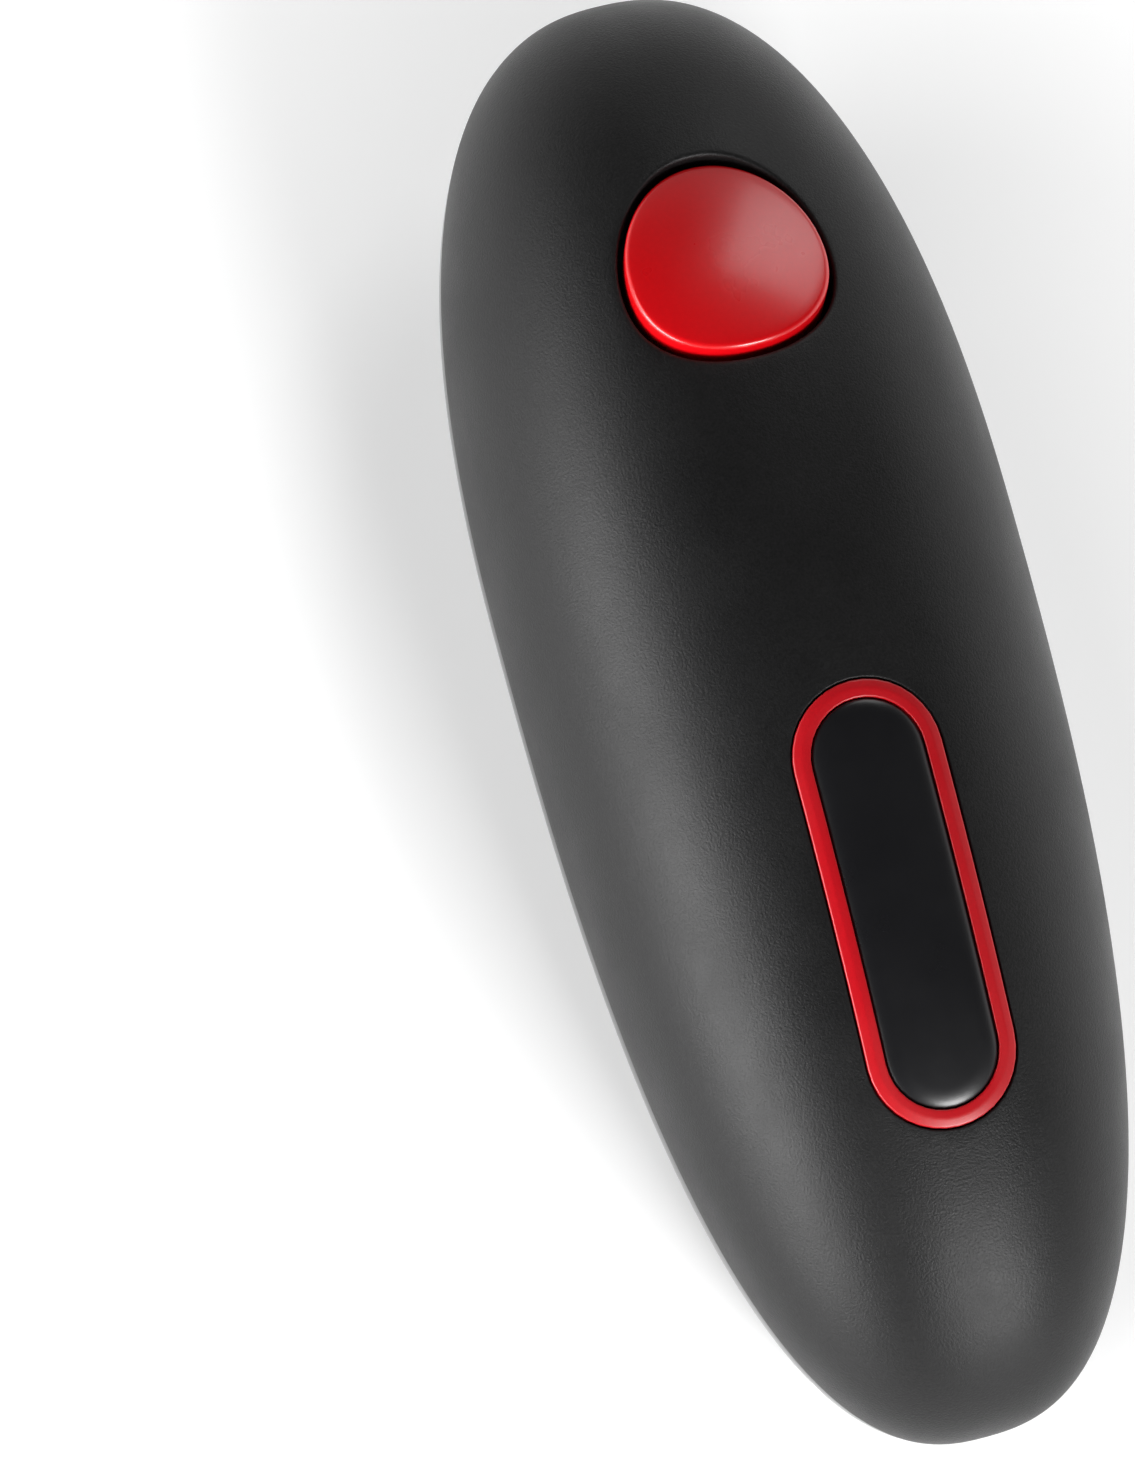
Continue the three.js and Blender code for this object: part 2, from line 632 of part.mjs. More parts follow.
function cell([side, row, facing]) {
  const { r, length, nub, nubR } = CELL;
  const body = [[0, 0], [r, 0], [r, length - 0.6], [r - 0.6, length]];
  const tip = [[nubR, length], [nubR, length + nub], [0, length + nub]];
  const geometry = geometryOf(turned([...body, ...tip], { sides: 16 })).rotateY((facing * Math.PI) / 2);
  const base = facing > 0 ? REAR_FACE + SPRING_ROOM : FRONT_FACE - SPRING_ROOM;
  return geometry.translate(base, side * CELL.y, CELL.rows[row]);
}

// The tapering spring that presses on a cell's flat end.
function cellSpring([side, row, facing]) {
  const shape = { r: 4.4, wire: 0.4, turns: 3, length: SPRING_ROOM - 0.7, steps: 8, taper: 0.6 };
  const geometry = coil(shape).rotateY((facing * Math.PI) / 2);
  return solid(geometry.translate(facing > 0 ? REAR_FACE : FRONT_FACE, side * CELL.y, CELL.rows[row]));
}

// A plate at one end of the tray, in front of the cells whose centres it covers.
function contact(atFront, [y0, z0], [y1, z1]) {
  const [x0, x1] = atFront ? [FRONT_FACE, FRONT_FACE + CONTACT] : [REAR_FACE - CONTACT, REAR_FACE];
  return block([x0, y0 - 5.4, z0 - 5.4], [x1, y1 + 5.4, z1 + 5.4]);
}

function batteryTray() {
  const { rear, front, halfWidth, wall, bottom, top, endTop } = TRAY;
  const frame = cut(
    block([rear, -halfWidth, bottom], [front, halfWidth, top]),
    block([rear + wall, -halfWidth + wall, bottom - 1], [front - wall, halfWidth - wall, top + 1]),
  );
  return join(
    frame,
    block([rear, -12.8, bottom], [rear + wall, 12.8, endTop]),
    block([front - wall, -14, bottom], [front, 14, endTop]),
  );
}

// ---------------------------------------------------------------- leads and screws

function lead(points) {
  const route = points.map((p) => new THREE.Vector3(...p));
  return wireAlong(route, 0.75, 10, 5);
}

function caseScrew([x, y]) {
  const profile = [[0, 1.2], [2.7, 1.2], [2.7, 2.6], [1.25, 3.2], [1.25, 17], [0, 18.5]];
  return turned(profile, { x, y, sides: 12 });
}

function postScrew([x, y]) {
  const profile = [[0, 10], [0.95, 10], [0.95, 17.95], [2.1, 17.95], [2.1, 19.2], [0, 19.2]];
  return turned(profile, { x, y, sides: 10 });
}

// ---------------------------------------------------------------- the assembly

const opener = new THREE.Group();

function add(name, made, material) {
  const mesh = new THREE.Mesh(made.isBufferGeometry ? made : geometryOf(made), material);
  mesh.name = name;
  opener.add(mesh);
}

add("top_shell", topShell(), softBlack);
add("lower_shell", lowerShell(), glossBlack);
add("battery_cover", batteryCover(), glossBlack);
add("badge_ring", badgeRing(), red);
add("badge_plate", badgePlate(), glossBlack);
add("start_button", startButton(), red);
add("button_spring", buttonSpring(), steel);
add("switch_board", switchBoard(), board);
add("switch_body", switchBody(), moulding);
add("switch_plunger", switchPlunger(), acetal);

add("wear_plate", wearPlate(), steel);
PLATE_SCREWS.forEach((place, i) => add(`wear_plate_screw_${i + 1}`, wearPlateScrew(place), steel));
add("lid_magnet", lidMagnet(), darkSteel);
add("drive_bushing", driveBushing(), brass);
add("drive_wheel", driveWheel(), darkSteel);
add("drive_shaft", driveShaft(), steel);
add("drive_gear", driveGear(), acetal);

add("cutter_drum", cutterDrum(), chrome);
add("cutting_wheel", cuttingWheel(), steel);
add("blade_washer", bladeWasher(), steel);
add("drum_hub", drumHub(), moulding);
add("drum_shaft", drumShaft(), steel);
add("drum_gear", drumGear(), acetal);
add("nip_gear", nipGear(), acetal);
add("clutch_spring", clutchSpring(), steel);

const [third, second, first, motor] = centres;
add("third_gear", compoundGear(1, LEVELS.third, LEVELS.drive, third, second, driveCentre), acetal);
add("second_gear", compoundGear(2, LEVELS.second, LEVELS.third, second, first, third), acetal);
add("first_gear", compoundGear(3, LEVELS.first, LEVELS.second, first, motor, second), acetal);
["third", "second", "first"].forEach((name, i) => {
  const [x, y] = centres[i];
  add(`${name}_axle`, rod(AXLE_R, 1.6, GEAR_PLATE.top + 0.1, { x, y, sides: 12 }), steel);
});
add("gear_plate", gearPlate(), steel);
PLATE_POSTS.forEach((place, i) => add(`gear_plate_screw_${i + 1}`, postScrew(place), steel));
add("motor_can", motorCan(), steel);
add("motor_end_cap", motorEndCap(), moulding);
add("motor_shaft", motorShaft(), steel);
add("motor_pinion", motorPinion(), brass);

add("battery_tray", batteryTray(), moulding);
CELLS.forEach((place, i) => add(`battery_${i + 1}`, cell(place), cellWrap));
const [low, high] = CELL.rows;
const left = CELL.y;
const springs = CELLS.map(cellSpring);
add("contact_positive", contact(true, [left, low], [left, low]), steel);
add("contact_rear_lower", join(contact(false, [-left, low], [left, low]), springs[0]), steel);
add("contact_front_link", join(contact(true, [-left, low], [-left, high]), springs[1]), steel);
add("contact_rear_upper", join(contact(false, [-left, high], [left, high]), springs[2]), steel);
add("contact_negative", join(contact(true, [left, high], [left, high]), springs[3]), steel);

// The battery leads run forward on both sides of the motor, down to the switch board.
const batteryRoute = (side) =>
  [[-8, 9, 30], [2, 15, 32], [20, 19, 33], [38, 17, 33], [45, 11, 29.9]].map(([x, y, z]) => [x, side * y, z]);
add("battery_lead_red", lead(batteryRoute(1)), redLead);
add("battery_lead_black", lead(batteryRoute(-1)), blackLead);
add("motor_lead_red", lead([[21.5, 9.2, 44.9], [29, 8, 43.8], [36, 6, 39], [42, 5, 31.2]]), redLead);
const motorReturn = [[21.5, -5.6, 44.9], [29, -6.5, 43.8], [36, -6.5, 39], [42, -5, 31.2]];
add("motor_lead_black", lead(motorReturn), blackLead);
CASE_SCREWS.forEach((place, i) => add(`case_screw_${i + 1}`, caseScrew(place), steel));

// ---------------------------------------------------------------- laid down on a table

const DRUM_EDGE = DRUM.x - DRUM.r + DRUM.chamfer;
// How far back the flat underside reaches: where the rounded keel line comes up through z = 0.
const { middle, tail } = LINES.keel;
const KEEL_DEPTH = (PARTING / (KEEL - STEP_IN)) ** tail[1];
const TAIL_FOOT = middle - (LENGTH / 2 - STEP_IN + middle) * (1 - KEEL_DEPTH) ** (1 / tail[0]);
opener.rotation.y = -Math.atan2(-DRUM.bottom, DRUM_EDGE - TAIL_FOOT);
opener.updateMatrixWorld(true);
const box = new THREE.Box3().setFromObject(opener, true);
const centre = box.getCenter(new THREE.Vector3());
opener.position.set(-centre.x, -centre.y, -box.min.z);

const part = new THREE.Group();
part.add(opener);
export default part;
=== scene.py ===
"""A handheld electric can opener on a pale floor.

Shapes are worked out in the opener's own level millimetres: x runs to the nose, y to its left, z up, and
z = 0 is the flat underside that rides on a can's rim. Each piece's mesh is then laid down as the opener lies
on a table, on its cutter drum and its tail, in metres.
"""
import json
import math

import bmesh
import bpy
from bpy.props import FloatProperty, FloatVectorProperty, IntProperty, PointerProperty
from mathutils import Matrix, Vector
from mathutils.geometry import delaunay_2d_cdt


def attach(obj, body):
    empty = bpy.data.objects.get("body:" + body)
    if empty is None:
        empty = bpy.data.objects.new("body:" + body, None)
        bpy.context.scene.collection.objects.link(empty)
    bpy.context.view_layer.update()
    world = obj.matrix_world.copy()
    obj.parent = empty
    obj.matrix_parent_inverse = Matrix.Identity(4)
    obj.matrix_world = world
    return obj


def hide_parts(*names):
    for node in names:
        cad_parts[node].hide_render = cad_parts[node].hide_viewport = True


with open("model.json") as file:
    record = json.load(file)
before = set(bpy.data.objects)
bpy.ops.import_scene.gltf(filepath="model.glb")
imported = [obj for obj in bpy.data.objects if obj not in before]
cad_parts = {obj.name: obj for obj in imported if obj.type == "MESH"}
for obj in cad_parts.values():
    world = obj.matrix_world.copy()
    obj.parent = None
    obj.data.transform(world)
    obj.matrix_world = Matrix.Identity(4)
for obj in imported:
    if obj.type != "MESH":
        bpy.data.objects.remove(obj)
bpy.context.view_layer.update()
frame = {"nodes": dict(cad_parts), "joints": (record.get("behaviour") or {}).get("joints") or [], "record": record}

bl_info = {
    "name": "Electric can opener",
    "version": (1, 0, 0),
    "blender": (4, 5, 0),
    "location": "3D View > Sidebar > Can opener",
    "description": "Makes a handheld electric can opener, piece by piece",
    "category": "Object",
}

# ------------------------------------------------------------------ the opener's sizes, in millimetres

LENGTH = 196.0
WIDTH = 70.0
CROWN = 50.0
PARTING = 12.0
KEEL = 14.5
STEP_IN = 0.3
GAP = 0.3
UPPER_WALL, UPPER_RIM, UPPER_LIP = 2.3, 0.45, 1.7
LOWER_WALL, LOWER_RIM, LOWER_LIP = 2.2, 0.5, 1.6
ENDS_FULL = 0.83  # how quickly the rings of points gather towards the two tips

BUTTON_X, BUTTON_LENGTH, BUTTON_WIDTH = 57.0, 27.0, 26.0
BUTTON_LEAN, BUTTON_GAP, BUTTON_DOME = 0.32, 0.8, 60.0
BADGE_X, BADGE_LENGTH, BADGE_WIDTH, BADGE_RING = -30.0, 58.0, 19.8, 2.3
BADGE_FOOT = -1.3

DRUM_X, DRUM_R, DRUM_BOTTOM, DRUM_TOP = 64.0, 12.0, -13.5, -5.0
BLADE_OFFSET, BLADE_R, BOSS_R, HUB_R = 2.6, 11.0, 6.6, 8.2
WHEEL_X, WHEEL_R, WHEEL_ROOT, WHEEL_TEETH = 42.4, 7.0, 6.35, 26
WHEEL_BOTTOM, WHEEL_THICK = -4.7, 3.8
SHAFT_R, SHAFT_TOP, FLANGE_R = 2.5, 18.6, 4.1
PLATE_REAR, PLATE_FRONT, PLATE_HALF = 34.4, 77.2, 12.6
MAGNET_X, MAGNET_R = 27.0, 4.2
COVER_FRONT, COVER_HALF, COVER_TOP, COVER_CORNER = -13.0, 19.2, 8.2, 2.5
RAIL_REAR, RAIL_FRONT, RAIL_TOP = -62.0, -14.3, 4.6
RIB_START, RIB_SPACING = -38.0, 2.6
CASE_SCREWS = ((86.0, 0.0), (14.0, 26.4), (14.0, -26.4), (-46.0, 26.0), (-46.0, -26.0))
PLATE_SCREWS = ((52.5, 9.2), (52.5, -9.2))
CELL_R, CELL_LENGTH, CELL_Y, CELL_ROWS = 7.1, 49.0, 7.45, (13.7, 28.2)
CELLS = ((1, 0, 1), (-1, 0, -1), (-1, 1, 1), (1, 1, -1))
CELL_BASES = {1: -62.7, -1: -18.7}  # where a cell's flat end is, by the way its nub faces

# ------------------------------------------------------------------ from level millimetres to the table

JOINTS = {joint["name"]: joint for joint in frame["joints"]}
UP = Vector(JOINTS["drum_turn"]["axis"]).normalized()
AHEAD = Vector((0, 1, 0)).cross(UP)
ORIGIN = Vector(JOINTS["drum_turn"]["pos_m"]) - AHEAD * DRUM_X / 1000
TURN = Matrix((AHEAD, Vector((0, 1, 0)), UP)).transposed()
LEVEL = Matrix.Translation(ORIGIN) @ TURN.to_4x4()
PLACE = LEVEL @ Matrix.Scale(0.001, 4)

# ------------------------------------------------------------------ the body's shape

# Long lines of the body: where each is fullest, and its exponents towards the nose and the tail.
LINES = {
    "plan": (18, (2.35, 2.35), (2.5, 2.5)),
    "crown": (11, (2.45, 2.2), (2.4, 2.2)),
    "keel": (8, (6, 3), (6, 3)),
}


def fullness(line, x, inset=0.0):
    middle, nose, tail = LINES[line]
    ahead = x > middle
    reach = LENGTH / 2 - inset + (-middle if ahead else middle)
    n, m = nose if ahead else tail
    return max(0.0, 1 - (abs(x - middle) / reach) ** n) ** (1 / m)


def power(value, exponent):
    return math.copysign(abs(value) ** exponent, value)


class Skin:
    """The upper (side = 1) or lower (side = -1) surface of the body, shrunk by inset.

    lift is how far its rim stands off the parting line, which leaves room for the rim's rounding.
    """

    def __init__(self, side, inset, lift, rings=150, columns=90):
        self.side, self.inset, self.lift = side, inset, lift
        self.rings, self.columns = rings, columns
        self.exponent = 2.25 if side > 0 else 3.0

    def half_width(self, x):
        return (WIDTH / 2 - self.inset) * fullness("plan", x, self.inset)

    def height(self, x):
        if self.side > 0:
            full = (CROWN - PARTING - self.inset) * fullness("crown", x, self.inset)
        else:
            full = (KEEL - self.inset) * fullness("keel", x, self.inset)
        return max(0.0, full - self.lift)

    def settle(self, x, y, rise):
        z = PARTING + self.side * (self.lift + self.height(x) * rise)
        if self.side < 0:  # the keel is flat where it would pass through z = 0, with a soft edge
            soft = 0.9
            z = 0.0 if z < -soft else (z + soft) ** 2 / (4 * soft) if z < soft else z
        return Vector((x, y, z))

    def point(self, s, t):
        x = (LENGTH / 2 - self.inset) * power(math.sin(s), ENDS_FULL)
        y = self.half_width(x) * power(math.cos(t), 2 / self.exponent)
        return self.settle(x, y, abs(math.sin(t)) ** (2 / self.exponent))

    def over(self, x, y):
        share = min(1.0, abs(y) / max(self.half_width(x), 1e-9))
        return self.settle(x, y, (1 - share**self.exponent) ** (1 / self.exponent))

    def params(self, p):
        s = math.asin(max(-1, min(1, power(p.x / (LENGTH / 2 - self.inset), 1 / ENDS_FULL))))
        share = min(1.0, abs(p.y) / max(self.half_width(p.x), 1e-9))
        return s, math.acos(math.copysign(share ** (self.exponent / 2), p.y))

    def grid(self, i, j):
        return -math.pi / 2 + math.pi * i / self.rings, math.pi * j / self.columns


def upper_skin():
    return Skin(1, 0.0, UPPER_RIM)


def lower_skin():
    return Skin(-1, STEP_IN, GAP + LOWER_RIM)


class Net:
    """The points and faces of one piece, in level millimetres."""

    def __init__(self):
        self.points, self.faces = [], []

    def loop(self, points):
        start = len(self.points)
        self.points.extend(Vector(p) for p in points)
        return list(range(start, len(self.points)))

    def strip(self, a, b, closed=True):
        count = len(a)
        for k in range(count if closed else count - 1):
            self.faces.append((a[k], a[(k + 1) % count], b[(k + 1) % count], b[k]))

    def rows(self, loops, first=None):
        """Loops of points joined in turn, from first if it is given. Returns the last one."""
        for points in loops:
            new = self.loop(points)
            if first:
                self.strip(first, new)
            first = new
        return first

    def object(self, name, material, smooth=35, place=PLACE):
        mesh = bpy.data.meshes.new(name)
        mesh.from_pydata([tuple(p) for p in self.points], [], self.faces)
        return finished(name, mesh, material, smooth, place)


def soften(mesh, smooth):
    """Smooth shading, but for edges sharper than this many degrees."""
    for polygon in mesh.polygons:
        polygon.use_smooth = True
    mesh.set_sharp_from_angle(angle=math.radians(smooth))


def applied(piece):
    """The mesh that a piece's modifiers make of it."""
    bpy.context.view_layer.update()
    evaluated = piece.evaluated_get(bpy.context.evaluated_depsgraph_get())
    return bpy.data.meshes.new_from_object(evaluated)


def finished(name, mesh, material, smooth=35, place=PLACE):
    """Cleans a closed mesh in level millimetres, lays it down and gives it its material."""
    bm = bmesh.new()
    bm.from_mesh(mesh)
    bmesh.ops.remove_doubles(bm, verts=bm.verts, dist=0.004)
    bmesh.ops.dissolve_degenerate(bm, edges=bm.edges, dist=0.001)
    bmesh.ops.recalc_face_normals(bm, faces=bm.faces)
    bm.to_mesh(mesh)
    bm.free()
    mesh.transform(place)
    mesh.update()
    soften(mesh, smooth)
    mesh.materials.clear()
    mesh.materials.append(material)
    piece = bpy.data.objects.new(name, mesh)
    bpy.context.scene.collection.objects.link(piece)
    return piece


def hand_over(piece, body, slot, *nodes):
    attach(piece, body)
    if nodes:
        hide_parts(*nodes)


def deliver(net, name, finish, smooth, body, slot, *nodes):
    """A net made a finished piece and handed over."""
    hand_over(net.object(name, FINISHES[finish], smooth), body, slot, *nodes)


def blend(a, b, c, rows):
    """Points from a to c that round off the corner b, one list per row after the first."""
    made = []
    for k in range(1, rows + 1):
        t = k / rows
        made.append([p * (1 - t) ** 2 + q * 2 * t * (1 - t) + r * t * t for p, q, r in zip(a, b, c)])
    return made


def shifted(points, offset):
    return [p + offset for p in points]


# ------------------------------------------------------------------ outlines


def stadium(x, length, width, margin, straight=16, bend=18):
    """Plan points of a bar with round ends, along x."""
    r = width / 2 + margin
    half = length / 2 - width / 2
    points = []
    for sign in (1, -1):
        for k in range(bend):
            angle = math.pi * (k / bend) - sign * math.pi / 2
            points.append((x + sign * half + r * math.cos(angle), r * math.sin(angle)))
        for k in range(straight):
            share = k / straight
            points.append((x + sign * half * (1 - 2 * share), sign * r))
    return points


def circle(x, y, r, count=48):
    return [(x + r * math.cos(a), y + r * math.sin(a)) for a in steps(count)]


def egg(margin, scale=1.0, count=96):
    """The start button's outline in its own leaning plane, its narrow end towards the nose."""
    points = []
    narrowing, squareness = 0.14, 0.95
    for angle in steps(count):
        a = (BUTTON_LENGTH / 2 + margin) * power(math.cos(angle), squareness)
        narrowed = (BUTTON_WIDTH / 2 + margin) * (1 - narrowing * math.cos(angle))
        b = narrowed * power(math.sin(angle), squareness)
        points.append((a * scale, b * scale))
    return points


BUTTON_AT = Vector((BUTTON_X, 0, PARTING + (CROWN - PARTING) * fullness("crown", BUTTON_X)))
BUTTON_AXIS = Vector((math.sin(BUTTON_LEAN), 0, math.cos(BUTTON_LEAN)))
BUTTON_ALONG = Vector((math.cos(BUTTON_LEAN), 0, -math.sin(BUTTON_LEAN)))


def on_button(a, b, h):
    return BUTTON_AT + BUTTON_ALONG * a + Vector((0, b, 0)) + BUTTON_AXIS * h


def egg_on(skin, margin):
    """The button's outline dropped along the button's axis onto the skin."""
    points = []
    for a, b in egg(margin):
        h = 0.0
        for _ in range(24):
            p = on_button(a, b, h)
            h += 0.8 * (skin.over(p.x, p.y).z - p.z)
        points.append(on_button(a, b, h))
    return points


def on_skin(skin, plan):
    return [skin.over(x, y) for x, y in plan]


# ------------------------------------------------------------------ shells with openings


def inside(point, polygon):
    x, y = point
    hit = False
    for k in range(len(polygon)):
        (x0, y0), (x1, y1) = polygon[k - 1], polygon[k]
        if (y0 > y) != (y1 > y) and x < (x1 - x0) * (y - y0) / (y1 - y0) + x0:
            hit = not hit
    return hit


DOMAIN = (95.0, 35.0)  # about how many millimetres a radian is, along and across


def flat(st):
    return st[0] * DOMAIN[0], st[1] * DOMAIN[1]


def tessellate(skin, window, loops, guards):
    """Joins part of the skin's grid to loops that lie in it.

    window is (i0, i1, j0, j1) in grid steps, and loops are lists of points on the skin. Grid points close to
    a guard, a slightly larger or smaller loop, are left out. Returns the points, the triangles outside every
    loop and the triangles inside each loop.
    """
    i0, i1, j0, j1 = window
    polygons = [[flat(skin.params(p)) for p in loop] for loop in loops]
    near = 0.45
    keep_out = []
    for guard in guards:
        edge = [flat(skin.params(p)) for p in guard]
        low, high = ([f(c) for c in zip(*edge)] for f in (min, max))
        keep_out.append((edge, [c - 1 for c in low], [c + 1 for c in high]))
    solid, places, edges = [], [], []
    for loop, polygon in zip(loops, polygons):
        start = len(places)
        places.extend(polygon)
        solid.extend(loop)
        edges.extend((start + k, start + (k + 1) % len(loop)) for k in range(len(loop)))
    for i in range(i0, i1 + 1):
        for j in range(j0, j1 + 1):
            place = flat(skin.grid(i, j))
            border = i in (i0, i1) or j in (j0, j1)
            if not border and any(
                all(a <= c <= b for a, c, b in zip(low, place, high)) and distance(place, edge) < near
                for edge, low, high in keep_out
            ):
                continue
            places.append(place)
            solid.append(skin.point(*skin.grid(i, j)))
    made, _, triangles, origin, _, _ = delaunay_2d_cdt([Vector(p) for p in places], edges, [], 0, 1e-6)
    back = [o[0] for o in origin]
    outer, inner = [], [[] for _ in loops]
    for triangle in triangles:
        middle = tuple(sum(made[v][c] for v in triangle) / 3 for c in (0, 1))
        where = next((k for k, polygon in enumerate(polygons) if inside(middle, polygon)), None)
        (outer if where is None else inner[where]).append(tuple(back[v] for v in triangle))
    return solid, outer, inner


def distance(point, polygon):
    x, y = point
    best = 1e9
    for k in range(len(polygon)):
        (x0, y0), (x1, y1) = polygon[k - 1], polygon[k]
        dx, dy = x1 - x0, y1 - y0
        t = max(0, min(1, ((x - x0) * dx + (y - y0) * dy) / (dx * dx + dy * dy + 1e-12)))
        best = min(best, math.hypot(x - x0 - t * dx, y - y0 - t * dy))
    return best


class Opening:
    """A hole or pocket in a shell.

    outline(margin) gives its edge on the skin, and axis the way into the wall. floor, on a pocket, lists the
    margins of the loops that close its floor. collar is the thickness of a sleeve round a hole.
    """

    sleeve_top = 2.6

    def __init__(self, outline, axis, edge, depth, gap=0.0, floor=None, collar=None):
        self.outline, self.axis, self.edge, self.depth, self.gap = outline, axis, edge, depth, gap
        self.floor, self.collar = floor, collar
        self.start = outline(gap + edge)

    def guard(self):
        return self.outline(self.gap + self.edge + 0.3)

    def walls(self):
        corner = self.outline(self.gap)
        rows = blend(self.start, corner, shifted(corner, self.axis * self.edge), 4)
        rows.append(shifted(corner, self.axis * self.depth))
        if self.floor:
            rows += [shifted(self.outline(m), self.axis * self.depth) for m in self.floor]
        if self.collar:
            outer = self.outline(self.gap + self.collar)
            rows.append(shifted(outer, self.axis * self.depth))
            rows.append(shifted(outer, self.axis * self.sleeve_top))
        return rows


def window_of(skin, *openings):
    places = [skin.params(p) for o in openings for p in o.guard()]
    i = [(s + math.pi / 2) * skin.rings / math.pi for s, _ in places]
    j = [t * skin.columns / math.pi for _, t in places]
    return math.floor(min(i)) - 1, math.ceil(max(i)) + 1, math.floor(min(j)) - 1, math.ceil(max(j)) + 1


def cut_skin(skin, groups):
    """The skin's net with openings in it, and each opening with the numbers of the points round it.

    groups is a list of (window, [openings]).
    """
    net = Net()
    taken = [window for window, _ in groups]
    grid = {}

    def at(i, j):
        key = (0 if i == 0 else skin.rings, 0) if i in (0, skin.rings) else (i, j)
        if key not in grid:
            grid[key] = net.loop([skin.point(*skin.grid(*key))])[0]
        return grid[key]

    for i in range(skin.rings):
        for j in range(skin.columns):
            if not any(i0 <= i < i1 and j0 <= j < j1 for i0, i1, j0, j1 in taken):
                net.faces.append((at(i, j), at(i + 1, j), at(i + 1, j + 1), at(i, j + 1)))
    openings = []
    for window, members in groups:
        loops = [o.start for o in members]
        solid, outer, _ = tessellate(skin, window, loops, [o.guard() for o in members])
        ids = net.loop(solid)
        net.faces.extend(tuple(ids[v] for v in face) for face in outer)
        start = 0
        for o in members:
            openings.append((o, ids[start : start + len(o.start)]))
            start += len(o.start)
    return net, openings


def shell(skin, groups, thickness, rim_radius, lip):
    """A closed shell: a cut skin, its inner face, the walls of its openings and a rounded rim.

    Under a pocket the inner face runs on.
    """
    net, openings = cut_skin(skin, groups)
    bm = bmesh.new()
    vertices = [bm.verts.new(p) for p in net.points]
    bm.verts.index_update()
    for face in net.faces:
        corners = [vertices[v] for v in dict.fromkeys(face)]
        if len(corners) > 2:
            try:
                bm.faces.new(corners)
            except ValueError:
                pass
    marks = {id(o): [vertices[v].co.copy() for v in ids] for o, ids in openings}
    bmesh.ops.remove_doubles(bm, verts=bm.verts, dist=0.003)
    bmesh.ops.dissolve_degenerate(bm, edges=bm.edges, dist=0.0005)
    loose = [v for v in bm.verts if not v.link_faces]
    bmesh.ops.delete(bm, geom=loose, context="VERTS")
    bmesh.ops.recalc_face_normals(bm, faces=bm.faces)
    top = max(bm.faces, key=lambda f: f.calc_center_median().z * skin.side)
    if top.normal.z * skin.side < 0:
        bmesh.ops.reverse_faces(bm, faces=bm.faces)
    bm.normal_update()
    bm.verts.ensure_lookup_table()
    bm.verts.index_update()
    out = Net()
    out.loop([v.co for v in bm.verts])
    out.faces = [tuple(v.index for v in f.verts) for f in bm.faces]
    normals = [v.normal.copy() for v in bm.verts]
    for v in bm.verts:  # the rim's and the tips' normals lie level
        if abs(v.co.z - (PARTING + skin.side * skin.lift)) < 1e-3:
            level = Vector((normals[v.index].x, normals[v.index].y, 0))
            normals[v.index] = level.normalized() if level.length > 1e-6 else Vector((1, 0, 0))
    lookup = {tuple(round(c, 2) for c in v.co): v.index for v in bm.verts}
    inner = out.loop([v.co - normals[v.index] * thickness for v in bm.verts])
    out.faces += [tuple(inner[v] for v in reversed(face)) for face in list(out.faces)]
    for o, _ in openings:
        ids = [nearest(lookup, p, bm) for p in marks[id(o)]]
        last = out.rows(o.walls(), ids)
        below = [inner[v] for v in ids]
        if o.floor:
            drop = [out.points[v] - out.points[i] for v, i in zip(below, ids)]
            out.rows([[p + d for p, d in zip(o.outline(m), drop)] for m in o.floor], below)
        else:
            out.strip(last, below)
    rim = rim_loop(bm, skin)
    outward = [normals[v] for v in rim]
    rim_points = [out.points[v] for v in rim]
    down = Vector((0, 0, -skin.side))
    corner = shifted(rim_points, down * rim_radius)
    back = [p - n * rim_radius for p, n in zip(corner, outward)]
    rows = blend(rim_points, corner, back, 4)
    rows.append([p - n * lip for p, n in zip(corner, outward)])
    out.strip(out.rows(rows, rim), [inner[v] for v in rim])
    bm.free()
    return out


def nearest(lookup, p, bm):
    key = tuple(round(c, 2) for c in p)
    if key in lookup:
        return lookup[key]
    return min(bm.verts, key=lambda v: (v.co - p).length_squared).index


def rim_loop(bm, skin):
    """The indices round the skin's rim, in order."""
    base = PARTING + skin.side * skin.lift
    rim = [v for v in bm.verts if abs(v.co.z - base) < 1e-3 and v.is_boundary]
    current = max(rim, key=lambda v: v.co.x)
    loop, seen = [], set()
    while current and current.index not in seen:
        loop.append(current.index)
        seen.add(current.index)
        following = [
            e.other_vert(current)
            for e in current.link_edges
            if e.is_boundary and e.other_vert(current).index not in seen
            and abs(e.other_vert(current).co.z - base) < 1e-3
        ]
        current = following[0] if following else None
    return loop


# ------------------------------------------------------------------ turned and flat pieces


def turned(profile, x=0.0, y=0.0, count=96):
    """A solid turned about the upright line at x, y, from (radius, z) pairs that start and end on it."""
    net = Net()
    net.rows([[(x + r * math.cos(a), y + r * math.sin(a), z) for a in steps(count)] for r, z in profile])
    return net


def ring_turned(profile, x=0.0, y=0.0, count=96):
    """A ring turned about the upright line at x, y. Its profile closes on itself."""
    return turned([*profile, profile[0]], x, y, count)


def disc(radius, bottom, top):
    return [(0, bottom), (radius, bottom), (radius, top), (0, top)]


def steps(count):
    return [2 * math.pi * k / count for k in range(count)]


def rounded(profile, radius, segments=3):
    """The same (radius, z) profile with its inner corners rounded."""
    points = [Vector(p) for p in profile]
    made = [tuple(points[0])]
    for before, corner, after in zip(points, points[1:], points[2:]):
        cut = min(radius, (before - corner).length / 2.01, (after - corner).length / 2.01)
        a = corner + (before - corner).normalized() * cut
        c = corner + (after - corner).normalized() * cut
        for k in range(segments + 1):
            t = k / segments
            made.append(tuple(a * (1 - t) ** 2 + corner * 2 * t * (1 - t) + c * t * t))
    return made + [tuple(points[-1])]


